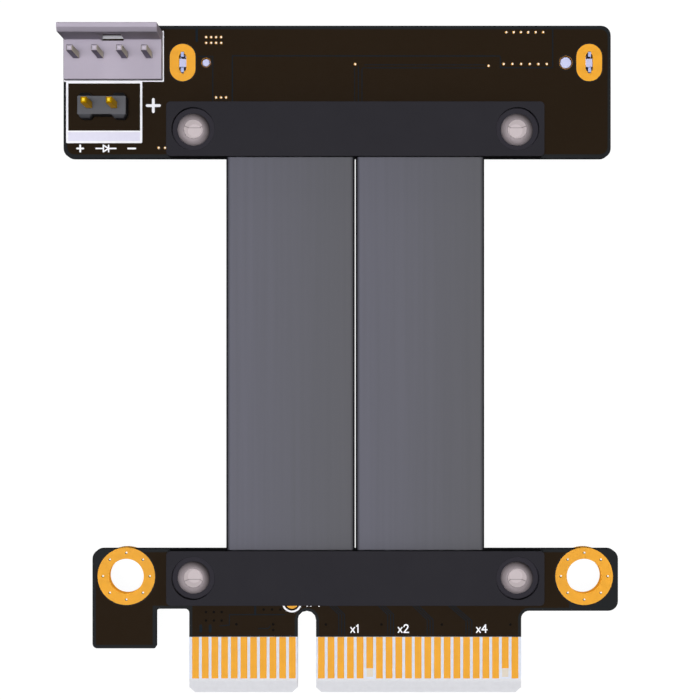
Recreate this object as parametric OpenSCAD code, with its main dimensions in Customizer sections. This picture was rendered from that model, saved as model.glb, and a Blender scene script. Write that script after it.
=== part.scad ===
// Adapter cable that joins a 2.5 inch server drive to a four-lane card slot.
// Two rigid boards lie in one plane, 40 mm apart, and two flat ribbons side by side join them.
// A black bar over and a bar under each board hold the ribbons' ends, pulled together by hollow rivets.
// X runs across the boards, Y from the card edge to the drive, Z out of the component face.
// The origin is midway between the two mounting holes, on the component face. Sizes are in millimetres.

/* [Boards] */
// Thickness of both boards
board_t = 1.6; // [1.5:0.05:1.7]
// Radius of the boards' outer corners
board_corner_r = 1; // [0.5:0.1:1.5]
// Thickness of the bare copper that stands on the boards
copper_t = 0.05; // [0.03:0.01:0.1]

/* [Card board] */
// From the end of a clamp bar to the copper ring of the mounting hole beside it
ring_gap = 1.33; // [0.5:0.01:3]
// Radius of the plated mounting holes
hole_r = 1.8; // [1.5:0.05:2]
// Width of the copper ring round each mounting hole
ring_w = 1.17; // [0.8:0.01:1.5]
// From a mounting hole's middle to the side of the card board
hole_margin = 3.5; // [3:0.1:6]
// Board that shows below the clamp bar, down to the shoulders beside the card edge
shoulder_gap = 0.78; // [0.5:0.02:3]
// Width of the notch between the card edge and the foot at its left
notch_w = 3.45; // [2:0.05:5]
// Board that shows below the clamp bar, down to the top of that notch
notch_gap = 0.57; // [0.4:0.01:3]
// Depth of the notch beside the foot
foot_l = 4.09; // [1.5:0.01:6]

/* [Card edge] */
// Spacing of the gold fingers
finger_pitch = 1; // [0.98:0.01:1.01]
// Width of one finger
finger_w = 0.7; // [0.5:0.05:0.8]
// From the shoulders down to where the fingers start
finger_gap = 2.7; // [2:0.05:3.5]
// Length of a finger
finger_l = 4.28; // [4:0.05:4.4]
// How much shorter a presence finger is
finger_short = 1.04; // [0.5:0.05:1.5]
// Width of the key slot between the two groups of fingers
key_w = 1.9; // [1.7:0.05:2]
// From the last finger's centre to the side of the card edge
tab_margin = 0.65; // [0.5:0.05:0.8]
// Length of the bevel at the end of the card edge
bevel_l = 1.2; // [0.8:0.05:2]
// Bare board between the fingers and the bevel
bevel_gap = 0.29; // [0.1:0.01:0.5]
// Depth of that bevel on each face
bevel_t = 0.45; // [0.2:0.05:0.55]

/* [Drive board] */
// From the left end of the clamp bar to the drive board's left side
drive_left = 10.79; // [9.5:0.01:14]
// Least board beyond the right end of the clamp bar
drive_right = 1; // [0.5:0.1:3]
// Gap between the rear bar and the receptacle's solder feet
feet_gap = 0.82; // [0.3:0.02:3]
// Board beyond the receptacle's far solder feet
far_margin = 0.36; // [0.2:0.02:3]

/* [Ribbons] */
// Free length of the ribbons between the boards
ribbon_free = 40.4; // [20:0.5:120]
// Width of one ribbon
ribbon_w = 13.08; // [11:0.02:16]
// Thickness of a ribbon
ribbon_t = 1.05; // [0.8:0.05:1.1]
// Gap between the two ribbons
ribbon_gap = 0.24; // [0.1:0.02:2]
// Jacket beside the first and the last wire of a ribbon
wire_margin = 0.3; // [0.1:0.05:0.6]
// Width of a stripped wire end
wire_w = 0.36; // [0.25:0.01:0.45]
// How far a ribbon's jacket reaches past the middle of the clamp bar
ribbon_past = 0.3; // [0:0.05:0.6]

/* [Clamp bars] */
// Length of a clamp bar beyond the ribbons, at each end
bar_ear = 6.15; // [5.4:0.05:9]
// Width of a clamp bar
bar_w = 5.6; // [5:0.1:8]
// How far a rear bar's long sides stand back from those of the front bar
rear_bar_inset = 0.3; // [0.2:0.05:0.4]
// Width of the lip that closes a front bar's channel
bar_lip = 0.5; // [0.3:0.05:0.6]
// Height of the front bar
bar_h = 2.3; // [1.9:0.05:3]
// Height of the rear bar
rear_bar_h = 2.3; // [1.6:0.05:3]
// Radius of a bar's corners
bar_corner_r = 0.45; // [0.2:0.05:1]
// Clearance beside the ribbons in their channel
channel_gap = 0.1; // [0.05:0.01:0.2]

/* [Rivets] */
// From a rivet's middle to the end of its bar
rivet_inset = 2.75; // [2.5:0.05:3.2]
// Radius of a rivet's shank
rivet_r = 1.2; // [1.15:0.01:1.25]
// Clearance round the shank
rivet_gap = 0.1; // [0.05:0.01:0.2]
// Radius of the domed rim
rim_r = 1.66; // [1.6:0.01:1.75]
// Height of the domed rim
rim_h = 0.55; // [0.4:0.05:0.8]
// Radius of the mouth inside the rim
mouth_r = 0.98; // [0.9:0.01:1]
// Radius of the floor at the bottom of the hollow
floor_r = 0.7; // [0.4:0.05:0.9]
// Depth of the hollow, from the mouth to its floor
hollow_depth = 1.7; // [1:0.1:2]
// Radius of the round recess that a rivet's end sits in
recess_r = 2.2; // [2:0.01:2.3]
// Depth of the recess in the front bar
recess_depth = 1; // [0.8:0.05:1.1]
// Thickness of the rivet's flat head behind
head_t = 0.4; // [0.2:0.05:0.45]
// Depth of the recess in the rear bar
rear_recess = 0.5; // [0.45:0.05:0.8]

/* [Drive receptacle] */
// Board beyond the receptacle's right end
rec_side = 0.03; // [0:0.01:3]
// Width of the receptacle's base
rec_w = 5.6; // [4.8:0.1:7]
// Height of the receptacle's base
rec_base_h = 2.2; // [1.9:0.1:2.6]
// Height of the guide posts
post_h = 8.3; // [7.2:0.1:9.5]
// Length of a guide post
post_l = 3.9; // [3.4:0.1:5]
// Gap between a guide post and the nose that holds the contacts
post_gap = 1.3; // [0.6:0.1:3]
// Wall between the slot's end and the nose's end
nose_end = 1.2; // [0.8:0.1:3]
// How far the base stands out beside the nose
nose_step = 0.35; // [0.1:0.05:0.6]
// Height of the nose
nose_h = 7.1; // [6.4:0.1:8]
// Slot beyond the first and the last contact's own width of row
slot_end = 0.43; // [0.2:0.01:2]
// Width of the slot for the drive's tongue
slot_w = 1.5; // [1.3:0.05:1.8]
// Depth of that slot
slot_depth = 5.4; // [4.6:0.1:5.6]
// Thickness of a contact's strip
contact_t = 0.2; // [0.15:0.01:0.25]
// Width of a wide contact
wide_contact = 0.6; // [0.4:0.05:0.75]
// Width of a narrow contact
narrow_contact = 0.36; // [0.25:0.01:0.45]
// Spacing of the wide contacts
wide_pitch = 1.27; // [1.1:0.01:1.5]
// Spacing of the narrow contacts
narrow_pitch = 0.8; // [0.7:0.01:0.95]
// Clearance beside a contact in its groove
groove_gap = 0.08; // [0.05:0.01:0.1]
// How far a solder foot stands out of the base
foot_out = 0.65; // [0.4:0.05:1]

/* [Board locks and pegs] */
// From a board lock's middle to the receptacle's end
lock_inset = 2.2; // [1.9:0.1:2.4]
// Width of the plated slot for a board lock
lock_slot_w = 0.74; // [0.6:0.02:0.9]
// Length of that slot
lock_slot_l = 1.94; // [1.8:0.02:2.2]
// Thickness of a board lock's metal
lock_t = 0.3; // [0.2:0.02:0.4]
// Clearance between a lock's prongs and the ends of the slot
lock_gap = 0.1; // [0.06:0.01:0.15]
// How far a prong hooks over the pad past the slot
lock_hook = 0.16; // [0.1:0.02:0.3]
// Width of the copper rim round a lock's slot
pad_rim = 0.955; // [0.5:0.005:1.1]
// From a locating peg's middle to the receptacle's end
peg_inset = 4.615; // [4.3:0.005:5]
// Radius of the small peg's hole
small_peg_r = 0.5; // [0.4:0.01:0.6]
// Radius of the large peg's hole
large_peg_r = 0.695; // [0.55:0.005:0.85]
// Clearance round a peg
peg_gap = 0.13; // [0.05:0.01:0.15]

/* [Power header] */
// From the drive board's left side to the header
power_left = 0.15; // [0:0.05:1]
// From the header's back to the drive board's far edge
power_edge = 0.66; // [0.3:0.02:0.8]
// Housing beyond the pins' own width of row, at each end
power_end = 0.05; // [0:0.05:0.5]
// Spacing of the power header's pins
power_pitch = 2.5; // [2.2:0.01:3]
// Height of the header's back wall
power_wall_h = 6.8; // [5.6:0.1:8.2]
// Thickness of the back wall
power_wall_t = 0.92; // [0.7:0.02:1.1]
// Chamfer along the top of the back wall
power_chamfer = 0.45; // [0.2:0.05:0.55]
// Depth of the header's base in front of the wall
power_base_d = 4.1; // [3.4:0.1:4.9]
// Height of the base
power_base_h = 1.3; // [1:0.1:1.8]
// From the wall to the middle of the pins
power_pin_y = 1.62; // [1.3:0.02:2]
// Width of the window in the back wall
window_w = 2.3; // [1.8:0.1:2.8]
// Height of the window
window_h = 4.5; // [3:0.1:5.4]

/* [Light header] */
// From the drive board's left side to the two-pin header
light_left = 1.73; // [0.5:0.01:3]
// Gap between the power header and the lugs of the two-pin header
light_gap = 1.5; // [0.5:0.05:1.8]
// Spacing of its pins
light_pitch = 2.54; // [2:0.01:3]
// Height of its body
light_h = 2.5; // [2:0.1:3]
// Width of its body without the lugs
light_w = 1.86; // [1.5:0.02:2.2]
// How far a lug stands out of the body
lug_out = 0.36; // [0.2:0.02:0.5]
// Width of a lug where it leaves the body
lug_w = 1.4; // [1:0.05:1.8]
// From a lug to the end of the body
lug_inset = 0.05; // [0.02:0.01:0.2]
// Height of its pins above the board
light_pin_h = 7.3; // [6:0.1:9]

/* [Pins] */
// Width of a square pin
pin_w = 0.64; // [0.5:0.01:0.8]
// Length of a pin's pointed tip
pin_tip = 0.3; // [0.1:0.05:0.6]
// Clearance between a pin's corners and its plated hole
pin_hole_gap = 0.048; // [0.02:0.002:0.15]
// How far a pin stands out behind the board
pin_tail = 1.2; // [0.8:0.1:1.6]
// How far a solder cone behind the board spreads past the hole
solder_spread = 0.3; // [0.15:0.01:0.4]
// Gap between the last solder cone and the receptacle
solder_gap = 0.36; // [0.1:0.02:1]

/* [Hidden] */
// Fineness of curves and of rounded corners
$fn = 48;
corner_steps = 6;
// A small overrun, so that a cut goes right through
over = 0.5;

// Ribbons and bars: a bar spans both ribbons and has an ear for a rivet at each end
wires = 16;
wire_pitch = (ribbon_w - 2 * wire_margin) / wires;
wire_t = 0.3;
wire_pad_w = 0.5;
bar_l = 2 * ribbon_w + ribbon_gap + 2 * bar_ear;
rivet_pitch = bar_l - 2 * rivet_inset;
ribbon_grip = bar_w / 2 + ribbon_past;
wire_pad_l = bar_w - bar_lip - ribbon_grip - 0.3;
wire_l = wire_pad_l - 0.2;

// Rivets: the rim sits in the front recess and the flat head in the rear one
rivet_hole_r = rivet_r + rivet_gap;
rear_z = -board_t;
front_seat_z = bar_h - recess_depth;
rear_seat_z = rear_z - rear_bar_h + rear_recess;
head_recess_r = rim_r + 0.24;

// Card board: the hole row is at y = 0, along the middle of the clamp bar
ring_r = hole_r + ring_w;
hole_pitch = bar_l + 2 * (ring_gap + ring_r);
card_w = hole_pitch + 2 * hole_margin;
card_edge_y = bar_w / 2;
shoulder_y = bar_w / 2 + shoulder_gap;
notch_y = bar_w / 2 + notch_gap;
foot_y = notch_y + foot_l;
finger_y = shoulder_y + finger_gap;
tab_y = finger_y + finger_l + bevel_gap + bevel_l;

// Card edge: eleven fingers, the key slot, and twenty-one fingers, with the slot at a fixed place
near_fingers = 11;
far_fingers = 21;
finger_count = near_fingers + far_fingers;
key_span = 3 * finger_pitch;
finger_row = (finger_count - 2) * finger_pitch + key_span;
finger_first_x = -finger_row / 2;
key_x = finger_first_x + (near_fingers - 1) * finger_pitch + key_span / 2;
tab_side_x = finger_row / 2 + tab_margin;
foot_w = card_w / 2 - tab_side_x - notch_w;
front_short_fingers = [16, 30];
rear_short_fingers = [0];
tab_chamfer = 0.55;
shoulder_fillet = 0.8;
foot_fillet = 0.42;

// Contact rows, from the left end of the slot: signal, narrow and power contacts, and the rear row
signal_count = 7;
middle_count = 6;
power_count = 15;
rear_count = 40;
slot_l = (signal_count + power_count) * wide_pitch + middle_count * narrow_pitch + 2 * slot_end;
signal_first = (wide_pitch - slot_l) / 2 + slot_end;
narrow_first = signal_first + (signal_count - 0.5) * wide_pitch + narrow_pitch / 2;
power_first = narrow_first + (middle_count - 0.5) * narrow_pitch + wide_pitch / 2;
rear_row_first = (1 - rear_count) * narrow_pitch / 2;
slot_corner = 1.2;
contact_y = slot_w / 2 + 0.15;
groove_depth = 0.6;
contact_tip = 0.8;

// Receptacle, from the slot outward
nose_l = slot_l + 2 * nose_end;
nose_w = rec_w - 2 * nose_step;
rec_l = nose_l + 2 * (post_gap + post_l);
lock_pitch = rec_l - 2 * lock_inset;
peg_pitch = rec_l - 2 * peg_inset;
lock_depth = 3;
lock_stem = lock_slot_l - 2 * lock_gap - 0.44;
prong_w = 0.32;

// Drive board: its depth holds the bar and the receptacle's feet, its width the header and receptacle
feet_w = rec_w + 2 * foot_out;
drive_near_y = card_edge_y + ribbon_free;
drive_row_y = drive_near_y + bar_w / 2;
drive_far_y = drive_near_y + bar_w + feet_gap + feet_w + far_margin;
rec_y = drive_far_y - far_margin - feet_w / 2;
power_w = 4 * power_pitch + 2 * power_end;
pin_hole_r = pin_w / sqrt(2) + pin_hole_gap;
solder_r = pin_hole_r + solder_spread;
drive_left_x = -bar_l / 2 - drive_left;
power_x = drive_left_x + power_left + power_w / 2;
rec_left_x = power_x + 1.5 * power_pitch + solder_r + solder_gap;
rec_x = rec_left_x + rec_l / 2;
drive_right_x = max(rec_left_x + rec_l + rec_side, bar_l / 2 + drive_right);

// Headers
power_back_y = drive_far_y - power_edge;
power_face_y = power_back_y - power_wall_t;
power_row_y = power_face_y - power_pin_y;
light_l = 2 * light_pitch - 0.12;
light_x = drive_left_x + light_left + light_l / 2;
light_y = power_face_y - power_base_d - light_gap - lug_out - light_w / 2;
solder_h = 0.7;

fr4 = [0.16, 0.13, 0.09];
gold = [0.95, 0.66, 0.2];
bar_black = [0.19, 0.18, 0.2];
rivet_steel = [0.55, 0.52, 0.54];
ribbon_grey = [0.41, 0.41, 0.44];
tin = [0.75, 0.74, 0.76];
ivory = [0.86, 0.87, 0.95];
lilac = [0.7, 0.67, 0.73];

// Points of an arc about c, from one angle to another
function arc(c, r, from, to) =
  [for (i = [0 : corner_steps]) let (a = from + (to - from) * i / corner_steps)
    c + r * [cos(a), sin(a)]];

// Finger places along X, from the first to the last, with the key's gap after the near group
function finger_x(i) =
  finger_first_x + i * finger_pitch + (i >= near_fingers ? key_span - finger_pitch : 0);

// Middles of the wires of one ribbon, where side is -1 for the left one and 1 for the right one
function wire_x(side, i) =
  side * (ribbon_gap + ribbon_w) / 2 + (i - (wires - 1) / 2) * wire_pitch;

// Rounded rectangle between two corners
module rounded_rect(low, high, r) {
  polygon(concat(
    arc([high[0] - r, high[1] - r], r, 0, 90),
    arc([low[0] + r, high[1] - r], r, 90, 180),
    arc([low[0] + r, low[1] + r], r, 180, 270),
    arc([high[0] - r, low[1] + r], r, 270, 360)
  ));
}

// Oval with round ends, longer along Y
module oval(w, l) {
  square([w, l - w], center = true);
  for (s = [-1, 1])
    translate([0, s * (l - w) / 2]) circle(d = w);
}

// A thing once at each end of a row of two, spaced along X about a point
module at_pair(pitch, y, x = 0) {
  for (s = [-1, 1])
    translate([x + s * pitch / 2, y, 0]) children();
}

// The card board's outline, foot and card edge included
module card_outline() {
  half = card_w / 2;
  r = board_corner_r;
  foot_x = -half + foot_w;
  key_r = key_w / 2;
  polygon(concat(
    arc([half - r, card_edge_y - r], r, 90, 0),
    arc([half - r, -shoulder_y + r], r, 0, -90),
    arc([tab_side_x + shoulder_fillet, -shoulder_y - shoulder_fillet], shoulder_fillet, 90, 180),
    [[tab_side_x, -tab_y + tab_chamfer], [tab_side_x - tab_chamfer, -tab_y]],
    [[key_x + key_r + tab_chamfer, -tab_y], [key_x + key_r, -tab_y + tab_chamfer]],
    arc([key_x, -shoulder_y - key_r], key_r, 0, 180),
    [[key_x - key_r, -tab_y + tab_chamfer], [key_x - key_r - tab_chamfer, -tab_y]],
    [[-tab_side_x + tab_chamfer, -tab_y], [-tab_side_x, -tab_y + tab_chamfer]],
    arc([-tab_side_x - foot_fillet, -notch_y - foot_fillet], foot_fillet, 0, 90),
    arc([foot_x + foot_fillet, -notch_y - foot_fillet], foot_fillet, 90, 180),
    arc([foot_x - 0.2, -foot_y + 0.2], 0.2, 0, -90),
    arc([-half + 0.5, -foot_y + 0.5], 0.5, -90, -180),
    arc([-half + r, card_edge_y - r], r, 180, 90)
  ));
}

// The wedge that the bevel takes off one face of the card edge
module bevel_cut(face) {
  z = face > 0 ? 0 : rear_z;
  translate([-tab_side_x - over, -tab_y, z])
    rotate([90, 0, 90])
      linear_extrude(2 * tab_side_x + 2 * over)
        polygon([
          [-over, over * face], [bevel_l, over * face], [bevel_l, 0],
          [0, -bevel_t * face], [-over, -bevel_t * face]
        ]);
}

// Holes for the two rivets of a bar
module rivet_holes(row_y, low_z, high_z) {
  at_pair(rivet_pitch, row_y)
    translate([0, 0, low_z]) cylinder(r = rivet_hole_r, h = high_z - low_z);
}

// Board with the card edge, before its holes are cut
module card_board() {
  color(fr4)
    difference() {
      translate([0, 0, rear_z]) linear_extrude(board_t) card_outline();
      for (face = [-1, 1]) bevel_cut(face);
      at_pair(hole_pitch, 0)
        translate([0, 0, rear_z - over]) cylinder(r = hole_r + copper_t, h = board_t + 2 * over);
      rivet_holes(0, rear_z - over, over);
    }
}

// Bare copper under the wire ends of both ribbons, which point away from the ribbons' free stretch
module wire_pads(row_y, away) {
  start = row_y + away * (ribbon_grip - bar_w / 2);
  for (side = [-1, 1], i = [0 : wires - 1])
    translate([wire_x(side, i) - wire_pad_w / 2, min(start, start + away * wire_pad_l), 0])
      cube([wire_pad_w, wire_pad_l, copper_t]);
}

// Plated mounting holes with a ring on each face, as wide as the board's margin takes, and the wire pads
module card_board_plating() {
  color(gold) {
    at_pair(hole_pitch, 0)
      difference() {
        union() {
          cylinder(r = ring_r, h = copper_t);
          translate([0, 0, rear_z - copper_t]) cylinder(r = ring_r, h = copper_t);
          translate([0, 0, rear_z]) cylinder(r = hole_r + copper_t, h = board_t);
        }
        translate([0, 0, rear_z - over]) cylinder(r = hole_r, h = board_t + 2 * over);
      }
    wire_pads(0, -1);
  }
}

// One row of fingers, lying on a face of the card edge
module fingers(face, short_ones) {
  low_z = face > 0 ? 0 : rear_z - copper_t;
  for (i = [0 : finger_count - 1]) {
    l = finger_l - (len(search(i, short_ones)) > 0 ? finger_short : 0);
    translate([finger_x(i) - finger_w / 2, -finger_y - l, low_z]) cube([finger_w, l, copper_t]);
  }
}

module card_fingers_front() {
  color(gold) fingers(1, front_short_fingers);
}

module card_fingers_rear() {
  color(gold) fingers(-1, rear_short_fingers);
}

// Front bar: a channel under it takes the ribbons and wire ends, and its recesses take the rims
module front_bar(row_y) {
  channel_x = ribbon_gap / 2 + ribbon_w + channel_gap;
  color(bar_black)
    difference() {
      linear_extrude(bar_h)
        rounded_rect([-bar_l / 2, row_y - bar_w / 2], [bar_l / 2, row_y + bar_w / 2], bar_corner_r);
      rivet_holes(row_y, -over, bar_h + over);
      at_pair(rivet_pitch, row_y)
        translate([0, 0, front_seat_z]) cylinder(r = recess_r, h = recess_depth + over);
      // The channel is open toward the ribbons and closed by a lip at its far side
      bar_channel(row_y, channel_x);
    }
}

// Space under a front bar, which runs out at the side where the ribbons leave
module bar_channel(row_y, half_w) {
  away = row_y > card_edge_y ? 1 : -1;
  low = away > 0 ? row_y - bar_w / 2 - over : row_y - bar_w / 2 + bar_lip;
  translate([-half_w, low, -over]) cube([2 * half_w, bar_w - bar_lip + over, ribbon_t + over]);
}

// Rear bar: plain and a little narrower, with recesses for the rivets' flat heads
module rear_bar(row_y) {
  low_z = rear_z - rear_bar_h;
  half_w = bar_w / 2 - rear_bar_inset;
  color(bar_black)
    difference() {
      translate([0, 0, low_z])
        linear_extrude(rear_bar_h)
          rounded_rect([-bar_l / 2, row_y - half_w], [bar_l / 2, row_y + half_w], bar_corner_r);
      rivet_holes(row_y, low_z - over, rear_z + over);
      at_pair(rivet_pitch, row_y)
        translate([0, 0, low_z - over]) cylinder(r = head_recess_r, h = rear_recess + over);
    }
}

// Hollow rivet: flat head behind, shank, domed rim in front, and a tapered hollow that ends in a floor
module rivet() {
  rim_w = rim_r - mouth_r;
  floor_z = front_seat_z + rim_h - hollow_depth;
  rotate_extrude()
    polygon(concat(
      [[0, rear_seat_z - head_t], [rim_r, rear_seat_z - head_t], [rim_r, rear_seat_z]],
      [[rivet_r, rear_seat_z], [rivet_r, front_seat_z]],
      [for (a = [0 : 15 : 90]) [mouth_r + rim_w * cos(a), front_seat_z + rim_h * sin(a)]],
      [[floor_r, floor_z], [0, floor_z]]
    ));
}

module rivets(row_y) {
  color(rivet_steel) at_pair(rivet_pitch, row_y) rivet();
}

// Stripped wire ends of both ribbons, lying on their pads
module wire_ends(row_y, away) {
  start = row_y + away * (ribbon_grip - bar_w / 2);
  color(tin)
    for (side = [-1, 1], i = [0 : wires - 1])
      translate([wire_x(side, i) - wire_w / 2, min(start, start + away * wire_l), copper_t])
        cube([wire_w, wire_l, wire_t]);
}

module card_clamp_front() { front_bar(0); }
module card_clamp_rear() { rear_bar(0); }
module card_clamp_rivets() { rivets(0); }
module card_wire_ends() { wire_ends(0, -1); }
module drive_clamp_front() { front_bar(drive_row_y); }
module drive_clamp_rear() { rear_bar(drive_row_y); }
module drive_clamp_rivets() { rivets(drive_row_y); }
module drive_wire_ends() { wire_ends(drive_row_y, 1); }

// Flat ribbon with round edges, lying on both boards and reaching under both bars
module ribbon(side) {
  l = ribbon_free + 2 * ribbon_grip;
  color(ribbon_grey)
    translate([side * (ribbon_gap + ribbon_w) / 2, card_edge_y - ribbon_grip + l, ribbon_t / 2])
      rotate([90, 0, 0])
        linear_extrude(l)
          rotate(90) oval(ribbon_t, ribbon_w);
}

module ribbon_left() { ribbon(-1); }
module ribbon_right() { ribbon(1); }

// Places of the two headers' pins
module at_power_pins() {
  for (i = [-1.5 : 1.5])
    translate([power_x + i * power_pitch, power_row_y, 0]) children();
}

module at_light_pins() {
  at_pair(light_pitch, light_y, light_x) children();
}

// Slots for the board locks, wide enough for the plating inside them
module lock_slots(grow) {
  at_pair(lock_pitch, rec_y, rec_x)
    translate([0, 0, rear_z - over])
      linear_extrude(board_t + 2 * over)
        oval(lock_slot_w + 2 * grow, lock_slot_l + 2 * grow);
}

// Board that carries the receptacle behind and the two headers in front
module drive_board() {
  color(fr4)
    difference() {
      translate([0, 0, rear_z])
        linear_extrude(board_t)
          rounded_rect([drive_left_x, drive_near_y], [drive_right_x, drive_far_y], board_corner_r);
      rivet_holes(drive_row_y, rear_z - over, over);
      lock_slots(copper_t);
      translate([rec_x - peg_pitch / 2, rec_y, rear_z - over])
        cylinder(r = small_peg_r, h = board_t + 2 * over);
      translate([rec_x + peg_pitch / 2, rec_y, rear_z - over])
        cylinder(r = large_peg_r, h = board_t + 2 * over);
      translate([0, 0, rear_z - over]) {
        at_power_pins() cylinder(r = pin_hole_r, h = board_t + 2 * over);
        at_light_pins() cylinder(r = pin_hole_r, h = board_t + 2 * over);
      }
    }
}

// Bare copper: the plated lock slots with their oval pads, and the wire pads
module drive_board_plating() {
  color(gold) {
    difference() {
      at_pair(lock_pitch, rec_y, rec_x) {
        linear_extrude(copper_t) oval(lock_slot_w + 2 * pad_rim, lock_slot_l + 2 * pad_rim);
        translate([0, 0, rear_z])
          linear_extrude(board_t)
            oval(lock_slot_w + 2 * copper_t, lock_slot_l + 2 * copper_t);
      }
      lock_slots(0);
    }
    wire_pads(drive_row_y, 1);
  }
}

// One contact: a solder foot on the board's rear face, a strip down the groove, and a bump in the slot
module contact(x, side, w) {
  tip_z = rear_z - nose_h + contact_tip;
  bump_z = tip_z + 1;
  inner = contact_y;
  outer = contact_y + contact_t;
  bump = contact_y - 0.3;
  foot_end = rec_w / 2 + foot_out;
  translate([rec_x + x - w / 2, rec_y, 0])
    mirror([0, side > 0 ? 0 : 1, 0])
      rotate([90, 0, 90])
        linear_extrude(w)
          polygon([
            [inner, rear_z], [foot_end, rear_z], [foot_end, rear_z - contact_t],
            [outer, rear_z - contact_t], [outer, bump_z + 0.6], [bump + contact_t, bump_z],
            [outer, tip_z], [inner, tip_z], [bump, bump_z], [inner, bump_z + 0.6]
          ]);
}

// Signal contacts on the far side of the slot
module signal_row(w = wide_contact) {
  for (i = [0 : signal_count - 1]) contact(signal_first + i * wide_pitch, 1, w);
}

// Power contacts on the same side
module power_row(w = wide_contact) {
  for (i = [0 : power_count - 1]) contact(power_first + i * wide_pitch, 1, w);
}

// Narrow contacts: some between those groups, and a full row along the other side
module lane_rows(w = narrow_contact) {
  for (i = [0 : middle_count - 1]) contact(narrow_first + i * narrow_pitch, 1, w);
  for (i = [0 : rear_count - 1]) contact(rear_row_first + i * narrow_pitch, -1, w);
}

module receptacle_signal_contacts() { color(gold) signal_row(); }
module receptacle_power_contacts() { color(gold) power_row(); }
module receptacle_lane_contacts() { color(gold) lane_rows(); }

// Groove in a side of the slot, in which one contact can spring back
module groove(x, side, w) {
  gw = w + 2 * groove_gap;
  gd = slot_w / 2 + groove_depth;
  translate([rec_x + x - gw / 2, rec_y - (side > 0 ? 0 : gd), rear_z - nose_h - over])
    cube([gw, gd, slot_depth + over]);
}

module grooves() {
  for (i = [0 : signal_count - 1]) groove(signal_first + i * wide_pitch, 1, wide_contact);
  for (i = [0 : power_count - 1]) groove(power_first + i * wide_pitch, 1, wide_contact);
  for (i = [0 : middle_count - 1]) groove(narrow_first + i * narrow_pitch, 1, narrow_contact);
  for (i = [0 : rear_count - 1]) groove(rear_row_first + i * narrow_pitch, -1, narrow_contact);
}

// Box centred on the receptacle, hanging from the board's rear face
module hanging_box(l, w, h, x = 0) {
  translate([rec_x + x - l / 2, rec_y - w / 2, rear_z - h]) cube([l, w, h]);
}

// Slot for the tongue, with a short leg across each end that stops a wrong fit
module tongue_slot() {
  translate([rec_x - slot_l / 2, rec_y - slot_w / 2, rear_z - nose_h - over])
    cube([slot_l, slot_w, slot_depth + over]);
  for (s = [0, 1])
    translate([rec_x - slot_l / 2 + s * (slot_l - slot_corner), rec_y - slot_w / 2, rear_z - nose_h - over])
      cube([slot_corner, slot_w + 0.8, slot_depth + over]);
}

// Guide post with a tapered tip
module guide_post(s) {
  taper = 0.9;
  translate([rec_x + s * (rec_l - post_l) / 2, rec_y, rear_z - post_h])
    rotate([90, 0, 0])
      linear_extrude(nose_w, center = true)
        polygon([
          [-post_l / 2, post_h], [post_l / 2, post_h], [post_l / 2, taper * 1.5],
          [post_l / 2 - taper, 0], [-post_l / 2 + taper, 0], [-post_l / 2, taper * 1.5]
        ]);
}

// Forked board locks: a stem held in each guide post, and two prongs that splay and hook over the pad
module receptacle_board_locks() {
  color(tin)
    at_pair(lock_pitch, rec_y, rec_x)
      for (s = [0, 1]) mirror([0, s, 0]) lock_half();
}

// One half of a lock, from its middle plane outward along Y
module lock_half() {
  reach = lock_slot_l / 2 - lock_gap;
  hook = lock_slot_l / 2 + lock_hook;
  root = lock_stem / 2;
  translate([-lock_t / 2, 0, 0])
    rotate([90, 0, 90])
      linear_extrude(lock_t)
        polygon([
          [0, rear_z - lock_depth], [root, rear_z - lock_depth], [root, rear_z], [reach, -0.4],
          [reach, copper_t], [hook, copper_t], [hook - 0.1, 0.4], [reach - prong_w, 0.4],
          [reach - prong_w, -0.4], [root - prong_w, rear_z], [root - prong_w, rear_z - 0.8],
          [0, rear_z - 0.8]
        ]);
}

// Pocket in a guide post: it grips the stem, and leaves the prongs room to spring near the board
module lock_pockets() {
  stem = lock_stem / 2;
  at_pair(lock_pitch, rec_y, rec_x) {
    translate([-lock_t / 2, -stem, rear_z - lock_depth]) cube([lock_t, lock_stem, lock_depth + over]);
    for (s = [0, 1])
      mirror([0, s, 0])
        translate([-lock_t / 2 - 0.05, stem - prong_w - 0.05, rear_z - 0.7])
          cube([lock_t + 0.1, prong_w + 0.15, 0.7 + over]);
  }
}

// Receptacle housing: base, nose with the slot, guide posts, and two pegs that locate it in the board
module receptacle_housing() {
  peg_top = 0.1;
  color(ivory)
    difference() {
      union() {
        hanging_box(rec_l, rec_w, rec_base_h);
        hanging_box(nose_l, nose_w, nose_h);
        for (s = [-1, 1]) guide_post(s);
        translate([rec_x - peg_pitch / 2, rec_y, rear_z - 1])
          cylinder(r = small_peg_r - peg_gap, h = board_t + 1 - peg_top);
        translate([rec_x + peg_pitch / 2, rec_y, rear_z - 1])
          cylinder(r = large_peg_r - peg_gap, h = board_t + 1 - peg_top);
      }
      tongue_slot();
      grooves();
      signal_row();
      power_row();
      lane_rows();
      lock_pockets();
    }
}

// Square pin through the board, pointed at both ends
module pin(top) {
  intersection() {
    pin_side(top);
    rotate(90) pin_side(top);
  }
}

// A pin's side view with both tips, extruded across it
module pin_side(top) {
  low = rear_z - pin_tail;
  half = pin_w / 2;
  point = pin_w / 5;
  rotate([90, 0, 0])
    linear_extrude(pin_w, center = true)
      polygon([
        [-point, low], [point, low], [half, low + pin_tip], [half, top - pin_tip],
        [point, top], [-point, top], [-half, top - pin_tip], [-half, low + pin_tip]
      ]);
}

module power_header_pins() {
  color(tin) at_power_pins() pin(power_wall_h);
}

module light_header_pins() {
  color(gold) at_light_pins() pin(light_pin_h);
}

// Square hole that a pin fills
module pin_hole(h) {
  translate([-pin_w / 2, -pin_w / 2, -over]) cube([pin_w, pin_w, h + 2 * over]);
}

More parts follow.
